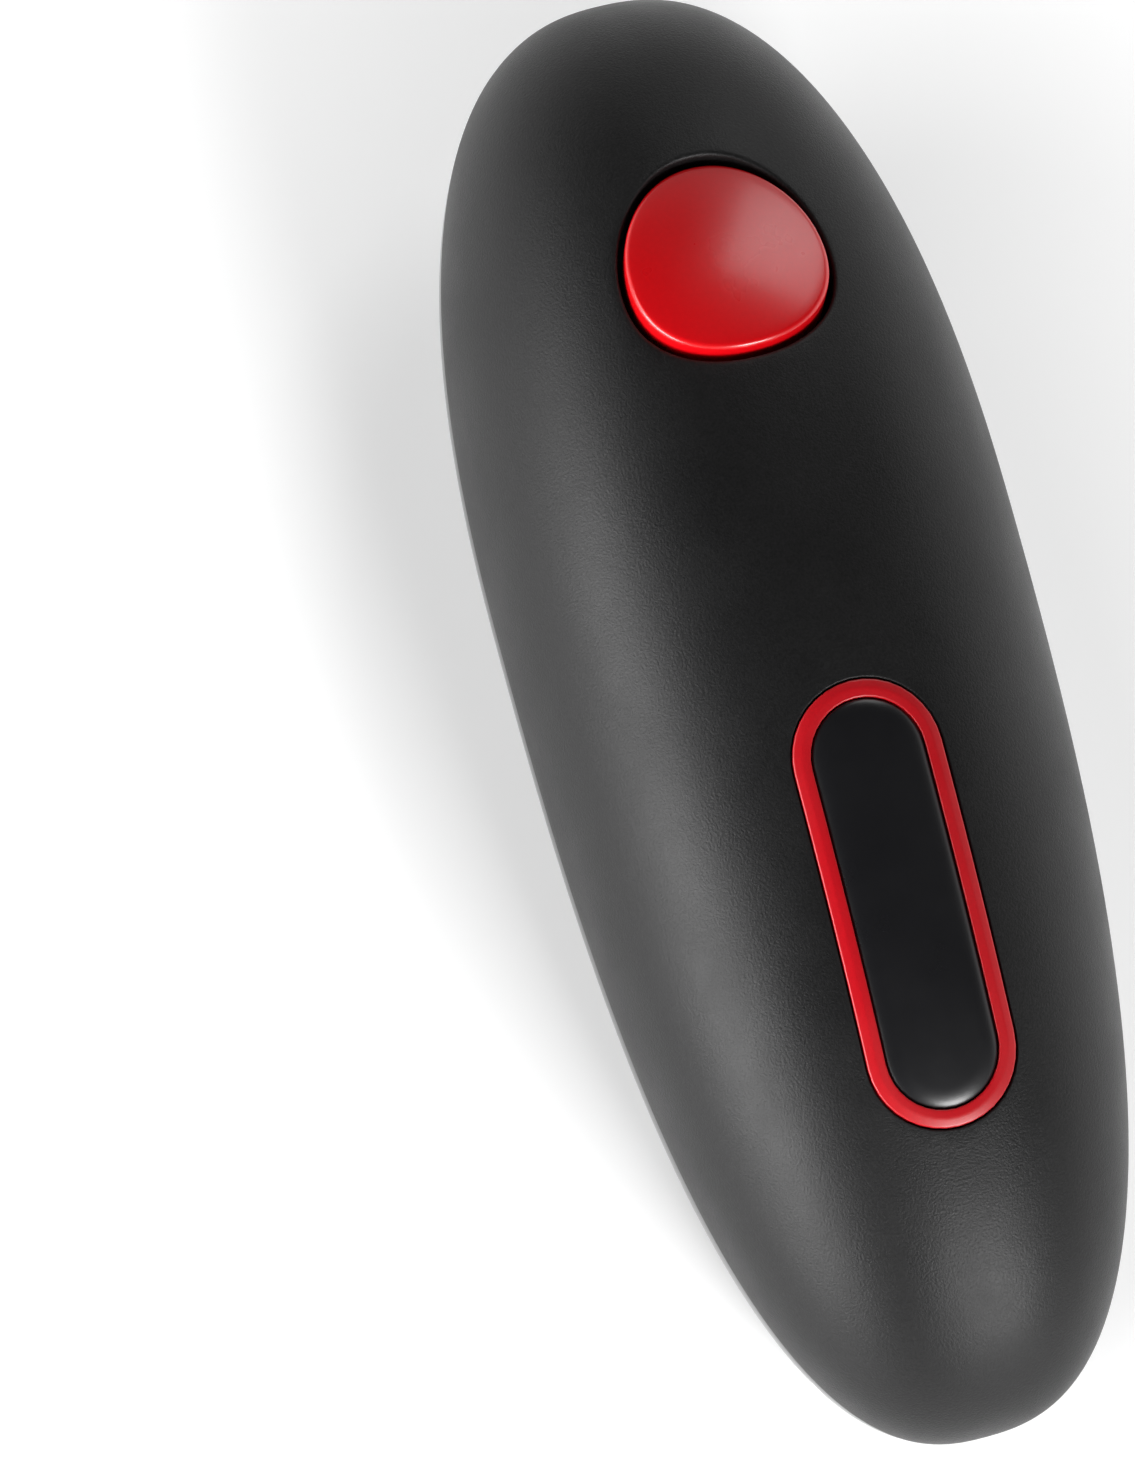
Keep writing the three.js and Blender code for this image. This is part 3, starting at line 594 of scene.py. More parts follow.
def slab(outline, closed_at, bottom, top, edge):
    """A flat piece with rounded edges. outline(margin) gives its plan points, and closes up at closed_at."""
    net = Net()
    margins = [0.0, -edge * 0.3, -edge]
    heights = [edge, edge * 0.3, 0.0]
    lower = [[(x, y, bottom + h) for x, y in outline(m)] for m, h in zip(margins, heights)]
    upper = [[(x, y, top - h) for x, y in outline(m)] for m, h in zip(margins, heights)]
    floor = [(x, y, bottom) for x, y in outline(closed_at)]
    roof = [(x, y, top) for x, y in outline(closed_at)]
    net.rows([floor, *reversed(lower), *upper, roof])
    return net


def merged(name, nets, material, smooth=35, union=False):
    """One piece from several closed nets, fused into one body where asked."""
    pieces = [net.object(f"{name}_{k}" if k else name, material, smooth) for k, net in enumerate(nets)]
    piece, others = pieces[0], pieces[1:]
    for other in others:
        if union:
            modifier = piece.modifiers.new("join", "BOOLEAN")
            modifier.operation, modifier.solver, modifier.object = "UNION", "EXACT", other
    if union and others:
        mesh = applied(piece)
        piece.modifiers.clear()
        piece.data = mesh
        mesh.set_sharp_from_angle(angle=math.radians(smooth))
    elif others:
        bm = bmesh.new()
        for source in pieces:
            bm.from_mesh(source.data)
        bm.to_mesh(piece.data)
        bm.free()
        piece.data.set_sharp_from_angle(angle=math.radians(smooth))
    for other in others:
        bpy.data.objects.remove(other)
    return piece


# ------------------------------------------------------------------ Geometry Nodes


def new_tree(name, inputs=()):
    """A node tree with a geometry input and output and named number inputs."""
    tree = bpy.data.node_groups.new(name, "GeometryNodeTree")
    tree.interface.new_socket("Geometry", in_out="INPUT", socket_type="NodeSocketGeometry")
    for label, kind, value in inputs:
        tree.interface.new_socket(label, in_out="INPUT", socket_type=kind).default_value = value
    tree.interface.new_socket("Geometry", in_out="OUTPUT", socket_type="NodeSocketGeometry")
    return tree, tree.nodes.new("NodeGroupInput"), tree.nodes.new("NodeGroupOutput")


def add(tree, kind, links=None, values=None, **settings):
    """A node with its settings, the links into its sockets and its sockets' values."""
    node = tree.nodes.new(kind)
    for key, value in settings.items():
        setattr(node, key, value)
    for socket, value in (values or {}).items():
        node.inputs[socket].default_value = value
    for socket, source in (links or {}).items():
        tree.links.new(source, node.inputs[socket])
    return node


def finish_tree(tree, output, geometry, material):
    realized = add(tree, "GeometryNodeRealizeInstances", {0: geometry})
    painted = add(tree, "GeometryNodeSetMaterial", {0: realized.outputs[0]}, {"Material": material})
    tree.links.new(painted.outputs[0], output.inputs[0])


def grown(name, tree, points, material, smooth=35, inputs=None):
    """Runs a tree on loose points and returns the result as a plain, finished piece."""
    mesh = bpy.data.meshes.new(name + "_seed")
    mesh.from_pydata(points, [], [])
    seed = bpy.data.objects.new(name + "_seed", mesh)
    bpy.context.scene.collection.objects.link(seed)
    modifier = seed.modifiers.new("grow", "NODES")
    modifier.node_group = tree
    for item in tree.interface.items_tree:
        if item.in_out == "INPUT" and inputs and item.name in inputs:
            modifier[item.identifier] = inputs[item.name]
    made = applied(seed)
    bpy.data.objects.remove(seed)
    return finished(name, made, material, smooth)


# ------------------------------------------------------------------ finishes


def surface(
    name, colour, roughness, metallic=0.0, grain=0.0, grain_size=0.3, vary=0.0, rough_vary=0.0, **sockets
):
    """A Principled material whose colour and roughness drift a little, with a fine grain in its normals.

    grain is the bump's height and grain_size its grain, in millimetres. sockets are set on the shader as
    they are.
    """
    material = bpy.data.materials.new(name)
    material.use_nodes = True
    tree = material.node_tree
    shader = tree.nodes["Principled BSDF"]
    shader.inputs["Metallic"].default_value = metallic
    shader.inputs["Roughness"].default_value = roughness
    for socket, value in sockets.items():
        shader.inputs[socket.replace("_", " ").title().replace("Ior", "IOR")].default_value = value
    where = add(tree, "ShaderNodeTexCoord").outputs["Object"]
    drift, fine = (
        add(
            tree, "ShaderNodeTexNoise", {"Vector": where},
            {"Scale": scale, "Detail": detail, "Roughness": rough},
        ).outputs[0]
        for scale, detail, rough in ((60.0, 4.0, 0.6), (1000.0 / grain_size, 3.0, 0.65))
    )
    shade = ranged(tree, fine, (0.3, 0.7), (1 - vary, 1 + vary))
    tint = add(tree, "ShaderNodeVectorMath", {1: shade}, {0: tuple(colour[:3])}, operation="MULTIPLY")
    tree.links.new(tint.outputs[0], shader.inputs["Base Color"])
    rough = ranged(tree, drift, (0.35, 0.65), (max(0.0, roughness - rough_vary), roughness + rough_vary))
    tree.links.new(rough, shader.inputs["Roughness"])
    if grain:
        bump = add(tree, "ShaderNodeBump", {"Height": fine}, {"Strength": 1.0, "Distance": grain / 1000.0})
        tree.links.new(bump.outputs[0], shader.inputs["Normal"])
    return material


def ranged(tree, value, before, after):
    """The output of a Map Range node that takes one range to another."""
    ends = dict(zip((1, 2, 3, 4), (*before, *after)))
    return add(tree, "ShaderNodeMapRange", {0: value}, ends).outputs[0]


FINISHES = {}


def make_finishes(settings):
    """Every material, by its slot in the record, and a few that only the visible pieces use."""
    coated = {"specular_ior_level": 0.27, "sheen_weight": 0.01, "sheen_roughness": 0.4}
    lacquer = {"coat_weight": 0.5, "coat_roughness": 0.18}
    ink = (0.006, 0.006, 0.007)
    # colour, roughness, metallic, grain, grain size, colour and roughness variation, other sockets
    looks = {
        "soft_black": (settings.case_colour, 0.42, 0.0, 0.07, 0.32, 0.6, 0.04, coated),
        "plate_black": (ink, 0.3, 0.0, 0.001, 0.3, 0.1, 0.03, {}),
        "gloss_black": (ink, 0.1, 0.0, 0.001, 0.3, 0.1, 0.03, {"coat_weight": 0.3}),
        "red": (settings.button_colour, 0.28, 0.0, 0.0015, 0.6, 0.04, 0.03, lacquer),
        "satin_red": (settings.ring_colour, 0.34, 0.0, 0.004, 0.4, 0.06, 0.04, {}),
        "chrome": ((0.58, 0.59, 0.6), 0.12, 1.0, 0.0006, 1.2, 0.02, 0.02, {}),
        "steel": ((0.55, 0.56, 0.57), 0.28, 1.0, 0.002, 0.25, 0.08, 0.06, {}),
        "dark_steel": ((0.14, 0.145, 0.15), 0.36, 1.0, 0.004, 0.3, 0.15, 0.08, {}),
        "brass": ((0.6, 0.42, 0.16), 0.3, 1.0, 0.002, 0.3, 0.06, 0.05, {}),
        "acetal": ((0.76, 0.74, 0.69), 0.42, 0.0, 0.004, 0.3, 0.03, 0.05, {"specular_ior_level": 0.4}),
        "dark_moulding": ((0.022, 0.023, 0.025), 0.55, 0.0, 0.01, 0.3, 0.15, 0.05, {}),
        "board": ((0.012, 0.1, 0.035), 0.4, 0.0, 0.006, 0.8, 0.2, 0.08, {}),
        "red_lead": ((0.42, 0.008, 0.008), 0.45, 0.0, 0.003, 0.3, 0.05, 0.04, {}),
        "black_lead": ((0.01, 0.01, 0.011), 0.45, 0.0, 0.003, 0.3, 0.05, 0.04, {}),
        "wheel": ((0.32, 0.33, 0.34), 0.34, 1.0, 0.006, 0.3, 0.12, 0.08, {}),
        "rib": ((0.008, 0.008, 0.009), 0.3, 0.0, 0.004, 0.3, 0.1, 0.05, {}),
    }
    for name, (*look, sockets) in looks.items():
        FINISHES[name] = surface(name, *look, **sockets)
    FINISHES["cell"] = wrap_finish()


def wrap_finish():
    """A cell's printed sleeve: plain blue with a copper-coloured band at its nub end and bare steel ends."""
    blue, copper, steel = (0.02, 0.05, 0.13), (0.45, 0.2, 0.07, 1), (0.6, 0.6, 0.6, 1)
    band_start, bare_start = 0.7, 1.02
    material = surface("cell_wrap", blue, 0.25, grain=0.002, vary=0.05, rough_vary=0.04, coat_weight=0.4)
    tree = material.node_tree
    shader = tree.nodes["Principled BSDF"]
    tint = shader.inputs["Base Color"].links[0].from_socket
    along = add(tree, "ShaderNodeUVMap")
    split = add(tree, "ShaderNodeSeparateXYZ", {0: along.outputs[0]})
    for start, colour in ((band_start, copper), (bare_start, steel)):
        past = add(tree, "ShaderNodeMath", {0: split.outputs[1]}, {1: start}, operation="GREATER_THAN")
        mix = add(tree, "ShaderNodeMix", {0: past.outputs[0], 6: tint}, {7: colour}, data_type="RGBA")
        tint = mix.outputs[2]
    tree.links.new(tint, shader.inputs["Base Color"])
    tree.links.new(past.outputs[0], shader.inputs["Metallic"])
    return material


# ------------------------------------------------------------------ settings


class OpenerSettings(bpy.types.PropertyGroup):
    """Sizes and colours that a user would change."""

    case_colour: FloatVectorProperty(
        name="Case", description="Colour of the upper casing", subtype="COLOR", size=3,
        default=(0.006, 0.006, 0.0062),
    )
    button_colour: FloatVectorProperty(
        name="Button", description="Colour of the start button", subtype="COLOR", size=3,
        default=(0.6, 0.0008, 0.004),
    )
    ring_colour: FloatVectorProperty(
        name="Ring", description="Colour of the ring round the badge", subtype="COLOR", size=3,
        default=(0.42, 0.003, 0.008),
    )
    edge: FloatProperty(
        name="Edge", description="Rounding of the button hole's edge, in millimetres",
        default=0.8, min=0.1, max=1.5,
    )
    dome: FloatProperty(
        name="Dome", description="Height of the start button above its hole, in millimetres",
        default=0.8, min=0.2, max=2.0,
    )
    teeth: IntProperty(
        name="Teeth", description="Teeth round the drive wheel", default=WHEEL_TEETH, min=12, max=40
    )
    ribs: IntProperty(name="Ribs", description="Grip ribs on the battery cover", default=7, min=3, max=12)


class Making:
    """Shared by the operators: undo, and the settings."""

    bl_options = {"REGISTER", "UNDO"}

    @property
    def settings(self):
        return bpy.context.scene.can_opener


class OPENER_OT_finishes(Making, bpy.types.Operator):
    """Make the materials and give the CAD's inner pieces theirs"""

    bl_idname = "opener.finishes"
    bl_label = "Finishes"

    def execute(self, context):
        make_finishes(self.settings)
        slots = {row["node"]: row.get("material_slot") for row in frame["record"]["subparts"]}
        for name, node in frame["nodes"].items():
            node.data.materials.clear()
            node.data.materials.append(FINISHES[slots[name]])
        return {"FINISHED"}


class OPENER_OT_upper_casing(Making, bpy.types.Operator):
    """Make the domed upper casing with its button well and badge pocket"""

    bl_idname = "opener.upper_casing"
    bl_label = "Upper casing"

    def execute(self, context):
        skin = upper_skin()
        well = Opening(
            lambda m: egg_on(skin, m), -BUTTON_AXIS, edge=self.settings.edge, depth=7.5, gap=BUTTON_GAP,
            collar=1.5,
        )
        pocket = Opening(
            lambda m: on_skin(skin, stadium(BADGE_X, BADGE_LENGTH, BADGE_WIDTH, m)), Vector((0, 0, -1)),
            edge=0.25, depth=1.6, gap=0.25, floor=(-3, -6, -9, -BADGE_WIDTH / 2),
        )
        groups = [(window_of(skin, well), [well]), (window_of(skin, pocket), [pocket])]
        made = shell(skin, groups, UPPER_WALL, UPPER_RIM, UPPER_LIP)
        deliver(made, "upper_casing", "soft_black", 50, "case", "soft_black", "top_shell")
        return {"FINISHED"}


def cover_outline(skin, e):
    """The battery cover's edge on the lower skin, grown by e: across the front, back along both sides and
    round the tail at a level height."""
    front, side, level = COVER_FRONT + e, COVER_HALF + e, COVER_TOP + e
    corner = COVER_CORNER
    across, along, round_tail = 12, 44, 30  # points on each stretch

    def height(x, y):
        return skin.over(x, y).z

    back = -30.0
    while height(back, min(side, skin.half_width(back))) < level and back > -97:
        back -= 0.25
    tail = -80.0
    while height(tail, 0) < level:
        tail -= 0.02
    half = [(front, side * k / across) for k in range(1, across - 1)]
    half += [
        (front - corner + corner * math.sin(a), side - corner + corner * math.cos(a))
        for a in (math.radians(90 - 15 * k) for k in range(7))
    ]
    run = front - corner - back
    half += [(front - corner - run * k / along, side) for k in range(1, along)]
    for k in range(round_tail + 1):
        x = back + (tail - back) * math.sin(math.pi / 2 * k / round_tail)
        lo, hi = 0.0, skin.half_width(x)
        for _ in range(40):
            middle = (lo + hi) / 2
            lo, hi = (middle, hi) if height(x, middle) < level else (lo, middle)
        half.append((x, min(side, lo)))
    half = [p for p in half if p[1] > 1e-3]
    points = [(front, 0.0), *half, (tail, 0.0), *((x, -y) for x, y in reversed(half))]
    return on_skin(skin, points)


def cover_window(skin):
    reach = math.ceil((skin.params(Vector((COVER_FRONT + 4, 0, 0)))[0] + math.pi / 2) * skin.rings / math.pi)
    return 0, reach, 0, skin.columns


class OPENER_OT_lower_casing(Making, bpy.types.Operator):
    """Make the glossy lower casing with its battery opening, plate pocket and screw wells"""

    bl_idname = "opener.lower_casing"
    bl_label = "Lower casing"

    def execute(self, context):
        skin = lower_skin()
        into = Vector((0, 0, 1))
        bay = Opening(lambda e: cover_outline(skin, e), into, edge=0.3, depth=LOWER_WALL, gap=GAP / 2)
        well_r = 3.1
        wells = [
            Opening(
                lambda m, x=x, y=y: on_skin(skin, circle(x, y, well_r + m)), into,
                edge=0.3, depth=2.0, floor=(-1.4, -2.2, -well_r),
            )
            for x, y in CASE_SCREWS
        ]
        length, width = PLATE_FRONT - PLATE_REAR, 2 * PLATE_HALF
        middle = (PLATE_FRONT + PLATE_REAR) / 2
        plate = Opening(
            lambda m: on_skin(skin, stadium(middle, length, width, m)), into,
            edge=0.2, depth=1.1, gap=0.2, floor=(-4, -8, -PLATE_HALF),
        )
        magnet = Opening(
            lambda m: on_skin(skin, circle(MAGNET_X, 0, MAGNET_R + m)), into,
            edge=0.25, depth=1.1, gap=0.15, floor=(-1.5, -3, -MAGNET_R),
        )
        rear_wells = wells[3:]
        groups = [(cover_window(skin), [bay, *rear_wells])]
        groups += [(window_of(skin, o), [o]) for o in (*wells[:3], plate, magnet)]
        made = shell(skin, groups, LOWER_WALL, LOWER_RIM, LOWER_LIP)
        deliver(made, "lower_casing", "gloss_black", 50, "case", "gloss_black", "lower_shell")
        return {"FINISHED"}


def box_net(low, high, edge=0.3):
    """A block with softened edges."""
    (x0, y0, z0), (x1, y1, z1) = low, high
    inner = -edge - min(x1 - x0, y1 - y0) / 4
    corners = ((x1, y1, 1, 1), (x0, y1, -1, 1), (x0, y0, -1, -1), (x1, y0, 1, -1))

    def outline(m):
        points = []
        for x, y, sx, sy in corners:
            ends = [(edge, 0), (edge * 0.7, edge * 0.7), (0, edge)]
            for dx, dy in ends if sx * sy > 0 else ends[::-1]:
                points.append((x - sx * edge + m * sx + sx * dx, y - sy * edge + m * sy + sy * dy))
        return points

    rows = [(inner, z0), (-edge, z0), (-edge * 0.3, z0 + edge * 0.3), (0, z0 + edge)]
    rows += [(0, z1 - edge), (-edge * 0.3, z1 - edge * 0.3), (-edge, z1), (inner, z1)]
    net = Net()
    loops = [net.loop([(x, y, z) for x, y in outline(m)]) for m, z in rows]
    for a, b in zip(loops, loops[1:]):
        net.strip(a, b)
    net.faces += [tuple(reversed(loops[0])), tuple(loops[-1])]
    return net


class OPENER_OT_battery_cover(Making, bpy.types.Operator):
    """Make the battery cover with its rails, its tongue and its grip ribs"""

    bl_idname = "opener.battery_cover"
    bl_label = "Battery cover"

    def execute(self, context):
        skin = lower_skin()
        into = Vector((0, 0, 1))
        edge = 0.3
        start = cover_outline(skin, -GAP / 2 - edge)
        corner = cover_outline(skin, -GAP / 2)
        guard = cover_outline(skin, -GAP / 2 - edge - 0.3)
        solid, _, within = tessellate(skin, cover_window(skin), [start], [guard])
        count = len(start)
        net = Net()
        net.loop(solid)
        faces = within[0]
        net.faces += faces
        under = net.loop([self.beneath(p) for p in solid])
        net.faces += [tuple(under[v] for v in reversed(face)) for face in faces]
        walls = blend(start, corner, shifted(corner, into * edge), 4)
        last = net.rows(walls, list(range(count)))
        net.strip(last, under[:count])
        used = {v for face in net.faces for v in face}
        remap = {v: k for k, v in enumerate(sorted(used))}
        net.points = [net.points[v] for v in sorted(used)]
        net.faces = [tuple(remap[v] for v in face) for face in net.faces]
        # each side's lip, web and root, then the tongue at the front and its root
        blocks = [
            ((RAIL_REAR, min(side * y0, side * y1), z), (RAIL_FRONT, max(side * y0, side * y1), RAIL_TOP))
            for y0, y1, z in ((20.1, 22.0, 2.9), (17.0, 19.0, 1.4), (18.7, 20.3, 2.9))
            for side in (1, -1)
        ]
        blocks += [((-20, -6, 2.9), (-8.8, 6, 4.4)), ((-20, -6, 1.4), (-13.6, 6, 3.2))]
        nets = [net, *(box_net(low, high) for low, high in blocks)]
        piece = merged("battery_cover_skin", nets, FINISHES["gloss_black"], 50)
        hand_over(piece, "cover", "gloss_black", "battery_cover")
        self.ribs()
        return {"FINISHED"}

    @staticmethod
    def beneath(p):
        """The point of the cover's inner face under p: the wall is 2 mm thick and leans in at the tail."""
        lean = max(0.0, min(1.0, p.z / COVER_TOP))
        return Vector((p.x * (1 - 0.02 * lean), p.y * (1 - 0.05 * lean), p.z + 2.0 * (1 - 0.6 * lean)))

    def ribs(self):
        """Low ribs across the cover, where the thumb pushes it off."""
        bar = box_net((-0.55, -8, -0.35), (0.55, 8, 0.6))
        bar = bar.object("rib_bar", FINISHES["rib"], 50, Matrix.Identity(4))
        tree, start, end = new_tree(
            "cover_ribs",
            (
                ("Ribs", "NodeSocketInt", self.settings.ribs),
                ("Spacing", "NodeSocketFloat", RIB_SPACING),
                ("Rib", "NodeSocketObject", None),
            ),
        )
        line = add(tree, "GeometryNodeMeshLine", {"Count": start.outputs["Ribs"]})
        offset = add(tree, "ShaderNodeCombineXYZ", {0: start.outputs["Spacing"]})
        tree.links.new(offset.outputs[0], line.inputs["Offset"])
        rib = add(tree, "GeometryNodeObjectInfo", {0: start.outputs["Rib"]})
        source = rib.outputs["Geometry"]
        spread = add(tree, "GeometryNodeInstanceOnPoints", {0: line.outputs[0], "Instance": source})
        place = {"Translation": (RIB_START, 0, 0.1)}
        moved = add(tree, "GeometryNodeTransform", {0: spread.outputs[0]}, place)
        finish_tree(tree, end, moved.outputs[0], FINISHES["rib"])
        inputs = {"Ribs": self.settings.ribs, "Rib": bar}
        piece = grown("cover_ribs", tree, [(0, 0, 0)], FINISHES["rib"], 50, inputs)
        bpy.data.objects.remove(bar)
        hand_over(piece, "cover", "gloss_black")


class OPENER_OT_start_button(Making, bpy.types.Operator):
    """Make the domed start button"""

    bl_idname = "opener.start_button"
    bl_label = "Start button"

    def execute(self, context):
        proud = self.settings.dome
        fillet, wall, foot, roof = 0.7, 1.6, -9.0, -2.4

        def row(margin, drop=None, scale=1.0):
            return [
                on_button(a, b, proud - (a * a + b * b) / (2 * BUTTON_DOME) if drop is None else drop)
                for a, b in egg(margin, scale)
            ]

        cap = [row(-fillet, scale=k / 12) for k in range(12)]
        start, corner = row(-fillet), row(0)
        side = blend(start, corner, shifted(corner, -BUTTON_AXIS * fillet), 6)
        skirt = [row(0, foot + 0.3), row(-0.3, foot), row(-wall, foot), row(-wall, roof)]
        under = [row(-wall, roof, k / 4) for k in (3, 2, 1)]
        post, tip = 2.2, -14.4
        stem = [
            [on_button(r * math.cos(a), r * math.sin(a), h) for a in steps(96)]
            for r, h in ((post, roof), (post, tip + 0.3), (post - 0.3, tip), (0, tip))
        ]
        net = Net()
        net.rows([*cap, start, *side, *skirt, *under, *stem])
        deliver(net, "start_button_cap", "red", 40, "button", "red", "start_button")
        return {"FINISHED"}


class OPENER_OT_badge(Making, bpy.types.Operator):
    """Make the badge's ring and its blank plate"""

    bl_idname = "opener.badge"
    bl_label = "Badge"

    def execute(self, context):
        skin = upper_skin()

        def row(margin, lift):
            plan = stadium(BADGE_X, BADGE_LENGTH, BADGE_WIDTH, margin)
            return shifted(on_skin(skin, plan), Vector((0, 0, lift)))

        inner, edge, proud = -BADGE_RING, 0.25, 0.1
        outer_side = blend(row(-edge, proud), row(0, proud), row(0, proud - edge), 3)
        inner_side = blend(row(inner, proud - edge), row(inner, proud), row(inner + edge, proud), 3)
        top = [row(inner + 0.9, 0.17), row(inner / 2, 0.2), row(-0.9, 0.17), row(-edge, proud)]
        foot = [row(0, BADGE_FOOT), row(inner, BADGE_FOOT)]
        rows = [row(inner, BADGE_FOOT), row(inner, proud - edge), *inner_side, *top, *outer_side, *foot]
        ring = Net()
        ring.rows(rows)
        deliver(ring, "badge_rim", "satin_red", 50, "case", "red", "badge_ring")

        last = inner - 0.2
        centre = -BADGE_WIDTH / 2
        roll, drop = 2.4, 0.55

        def pillow(inward):
            share = max(0.0, 1 - inward / roll)
            return 0.15 - drop * (1 - math.sqrt(1 - share * share))

        inwards = (last - centre, 5.5, 4, 3, 2.4, 2, 1.6, 1.25, 0.95, 0.7, 0.5, 0.33, 0.2, 0.1, 0.04, 0)
        dome = [row(last - inward, pillow(inward)) for inward in inwards]
        plate = Net()
        plate.rows([*dome, row(last, BADGE_FOOT), row(centre, BADGE_FOOT)])
        deliver(plate, "badge_face", "plate_black", 50, "case", "gloss_black", "badge_plate")
        return {"FINISHED"}


class OPENER_OT_cutter(Making, bpy.types.Operator):
    """Make the cutter drum, its cutting wheel, washer and hub"""

    bl_idname = "opener.cutter"
    bl_label = "Cutter"

    def execute(self, context):
        centre = (DRUM_X, 0)
        offset = (DRUM_X, BLADE_OFFSET)
        barrel = turned(rounded(disc(DRUM_R, DRUM_BOTTOM, DRUM_TOP), 0.7, 5), *centre, 128)
        boss = turned(rounded(disc(BOSS_R, -6, DRUM_TOP + 1.3), 0.15, 2), *offset)
        piece = merged("drum_barrel", [barrel, self.crescent(), boss], FINISHES["chrome"], 35, union=True)
        hand_over(piece, "drum", "chrome", "cutter_drum")

        bottom, top, bore = DRUM_TOP + 0.1, DRUM_TOP + 1.2, BOSS_R + 0.12
        cutting_edge = [(BLADE_R - 0.05, bottom), (BLADE_R, bottom + 0.06), (BLADE_R - 0.06, bottom + 0.14)]
        blade = ring_turned([(bore, bottom), *cutting_edge, (BLADE_R - 1.9, top), (bore, top)], *offset, 128)
        deliver(blade, "cutting_wheel_ring", "steel", 20, "blade", "steel", "cutting_wheel")

        low = DRUM_TOP + 1.4
        washer = turned(rounded(disc(8.1, low, low + 0.45), 0.12, 2), *offset)
        deliver(washer, "blade_keeper", "steel", 35, "drum", "steel", "blade_washer")

        hub = turned(rounded(disc(HUB_R, -3.05, 3.1), 0.4, 3), *centre)
        deliver(hub, "drum_collar", "dark_moulding", 35, "drum", "dark_moulding", "drum_hub")
        return {"FINISHED"}

    @staticmethod
    def crescent():
        """The wall that stands round the side of the blade away from its offset."""
        bottom, top, inner, wall = DRUM_TOP - 0.6, -0.6, BLADE_R + GAP, 3.3
        # where the two circles cross, seen from the drum's axis and from the blade's
        y = (BLADE_OFFSET**2 + DRUM_R**2 - inner**2) / (2 * BLADE_OFFSET)
        reach = math.sqrt(DRUM_R**2 - y**2)
        outer_end, inner_end = math.atan2(y, reach), math.atan2(y - BLADE_OFFSET, reach)
        count = 72
        outer, hollow = [], []
        for k in range(count + 1):
            share = k / count
            a = outer_end - (math.pi + 2 * outer_end) * share
            b = inner_end - (math.pi + 2 * inner_end) * share
            outer.append(Vector((DRUM_X + DRUM_R * math.cos(a), DRUM_R * math.sin(a))))
            hollow.append(Vector((DRUM_X + inner * math.cos(b), BLADE_OFFSET + inner * math.sin(b))))
        net = Net()
        section = []
        for edge, z in ((0.0, bottom), (0.0, top - 0.25), (0.08, top - 0.08), (0.25, top)):
            share = edge / wall
            outside = [p.lerp(q, share) for p, q in zip(outer, hollow)]
            bore = [q.lerp(p, share) for p, q in zip(outer, hollow)]
            section.append((outside, bore, z))
        sides = [
            net.loop([(p.x, p.y, z) for p in ring[1:-1]] + [(q.x, q.y, z) for q in reversed(bore[1:-1])])
            for ring, bore, z in section
        ]
        for a, b in zip(sides, sides[1:]):
            net.strip(a, b)
        half = count - 1
        for loop, flip in ((sides[0], False), (sides[-1], True)):
            for k in range(half - 1):
                face = (loop[k], loop[k + 1], loop[2 * half - 2 - k], loop[2 * half - 1 - k])
                net.faces.append(face[::-1] if flip else face)
        return net


class OPENER_OT_drive_wheel(Making, bpy.types.Operator):
    """Make the serrated drive wheel and its shaft's end"""

    bl_idname = "opener.drive_wheel"
    bl_label = "Drive wheel"

    def execute(self, context):
        tree, start, end = new_tree(
            "serrated_wheel",
            (
                ("Teeth", "NodeSocketInt", WHEEL_TEETH),
                ("Tip radius", "NodeSocketFloat", WHEEL_R),
                ("Root radius", "NodeSocketFloat", WHEEL_ROOT),
                ("Thickness", "NodeSocketFloat", WHEEL_THICK),
            ),
        )
        star = add(
            tree, "GeometryNodeCurveStar",
            {
                "Points": start.outputs["Teeth"],
                "Outer Radius": start.outputs["Tip radius"],
                "Inner Radius": start.outputs["Root radius"],
            },
        )
        face = add(tree, "GeometryNodeFillCurve", {0: star.outputs[0]}, mode="NGONS")
        wall = add(
            tree, "GeometryNodeExtrudeMesh",
            {0: face.outputs[0], "Offset Scale": start.outputs["Thickness"]}, {"Individual": False},
        )
        flipped = add(tree, "GeometryNodeFlipFaces", {0: face.outputs[0]})
        whole = add(tree, "GeometryNodeJoinGeometry", {0: wall.outputs[0]})
        tree.links.new(flipped.outputs[0], whole.inputs[0])
        welded = add(tree, "GeometryNodeMergeByDistance", {0: whole.outputs[0]}, {"Distance": 0.001})
        place = {"Translation": (WHEEL_X, 0, WHEEL_BOTTOM)}
        moved = add(tree, "GeometryNodeTransform", {0: welded.outputs[0]}, place)
        finish_tree(tree, end, moved.outputs[0], FINISHES["wheel"])
        piece = grown("wheel_teeth", tree, [(0, 0, 0)], FINISHES["wheel"], 30, {"Teeth": self.settings.teeth})
        bevelled(piece, 0.00018, 2)
        hand_over(piece, "drive", "dark_steel", "drive_wheel")

        flange = [(0, -5.9), (FLANGE_R, -5.9), (FLANGE_R, -4.8)]
        profile = [*flange, (SHAFT_R, -4.8), (SHAFT_R, SHAFT_TOP), (0, SHAFT_TOP)]
        shaft = turned(rounded(profile, 0.25), WHEEL_X, 0)
        deliver(shaft, "wheel_shaft", "steel", 35, "drive", "steel", "drive_shaft")
        return {"FINISHED"}


def bevelled(piece, width, segments):
    """Rounds a plain piece's sharp edges for good."""
    bm = bmesh.new()
    bm.from_mesh(piece.data)
    sharp = [e for e in bm.edges if len(e.link_faces) == 2 and e.calc_face_angle(0) > math.radians(25)]
    bmesh.ops.bevel(
        bm, geom=sharp, offset=width, segments=segments, profile=0.5, affect="EDGES", clamp_overlap=True
    )
    bmesh.ops.recalc_face_normals(bm, faces=bm.faces)
    bm.to_mesh(piece.data)
    bm.free()
    soften(piece.data, 50)


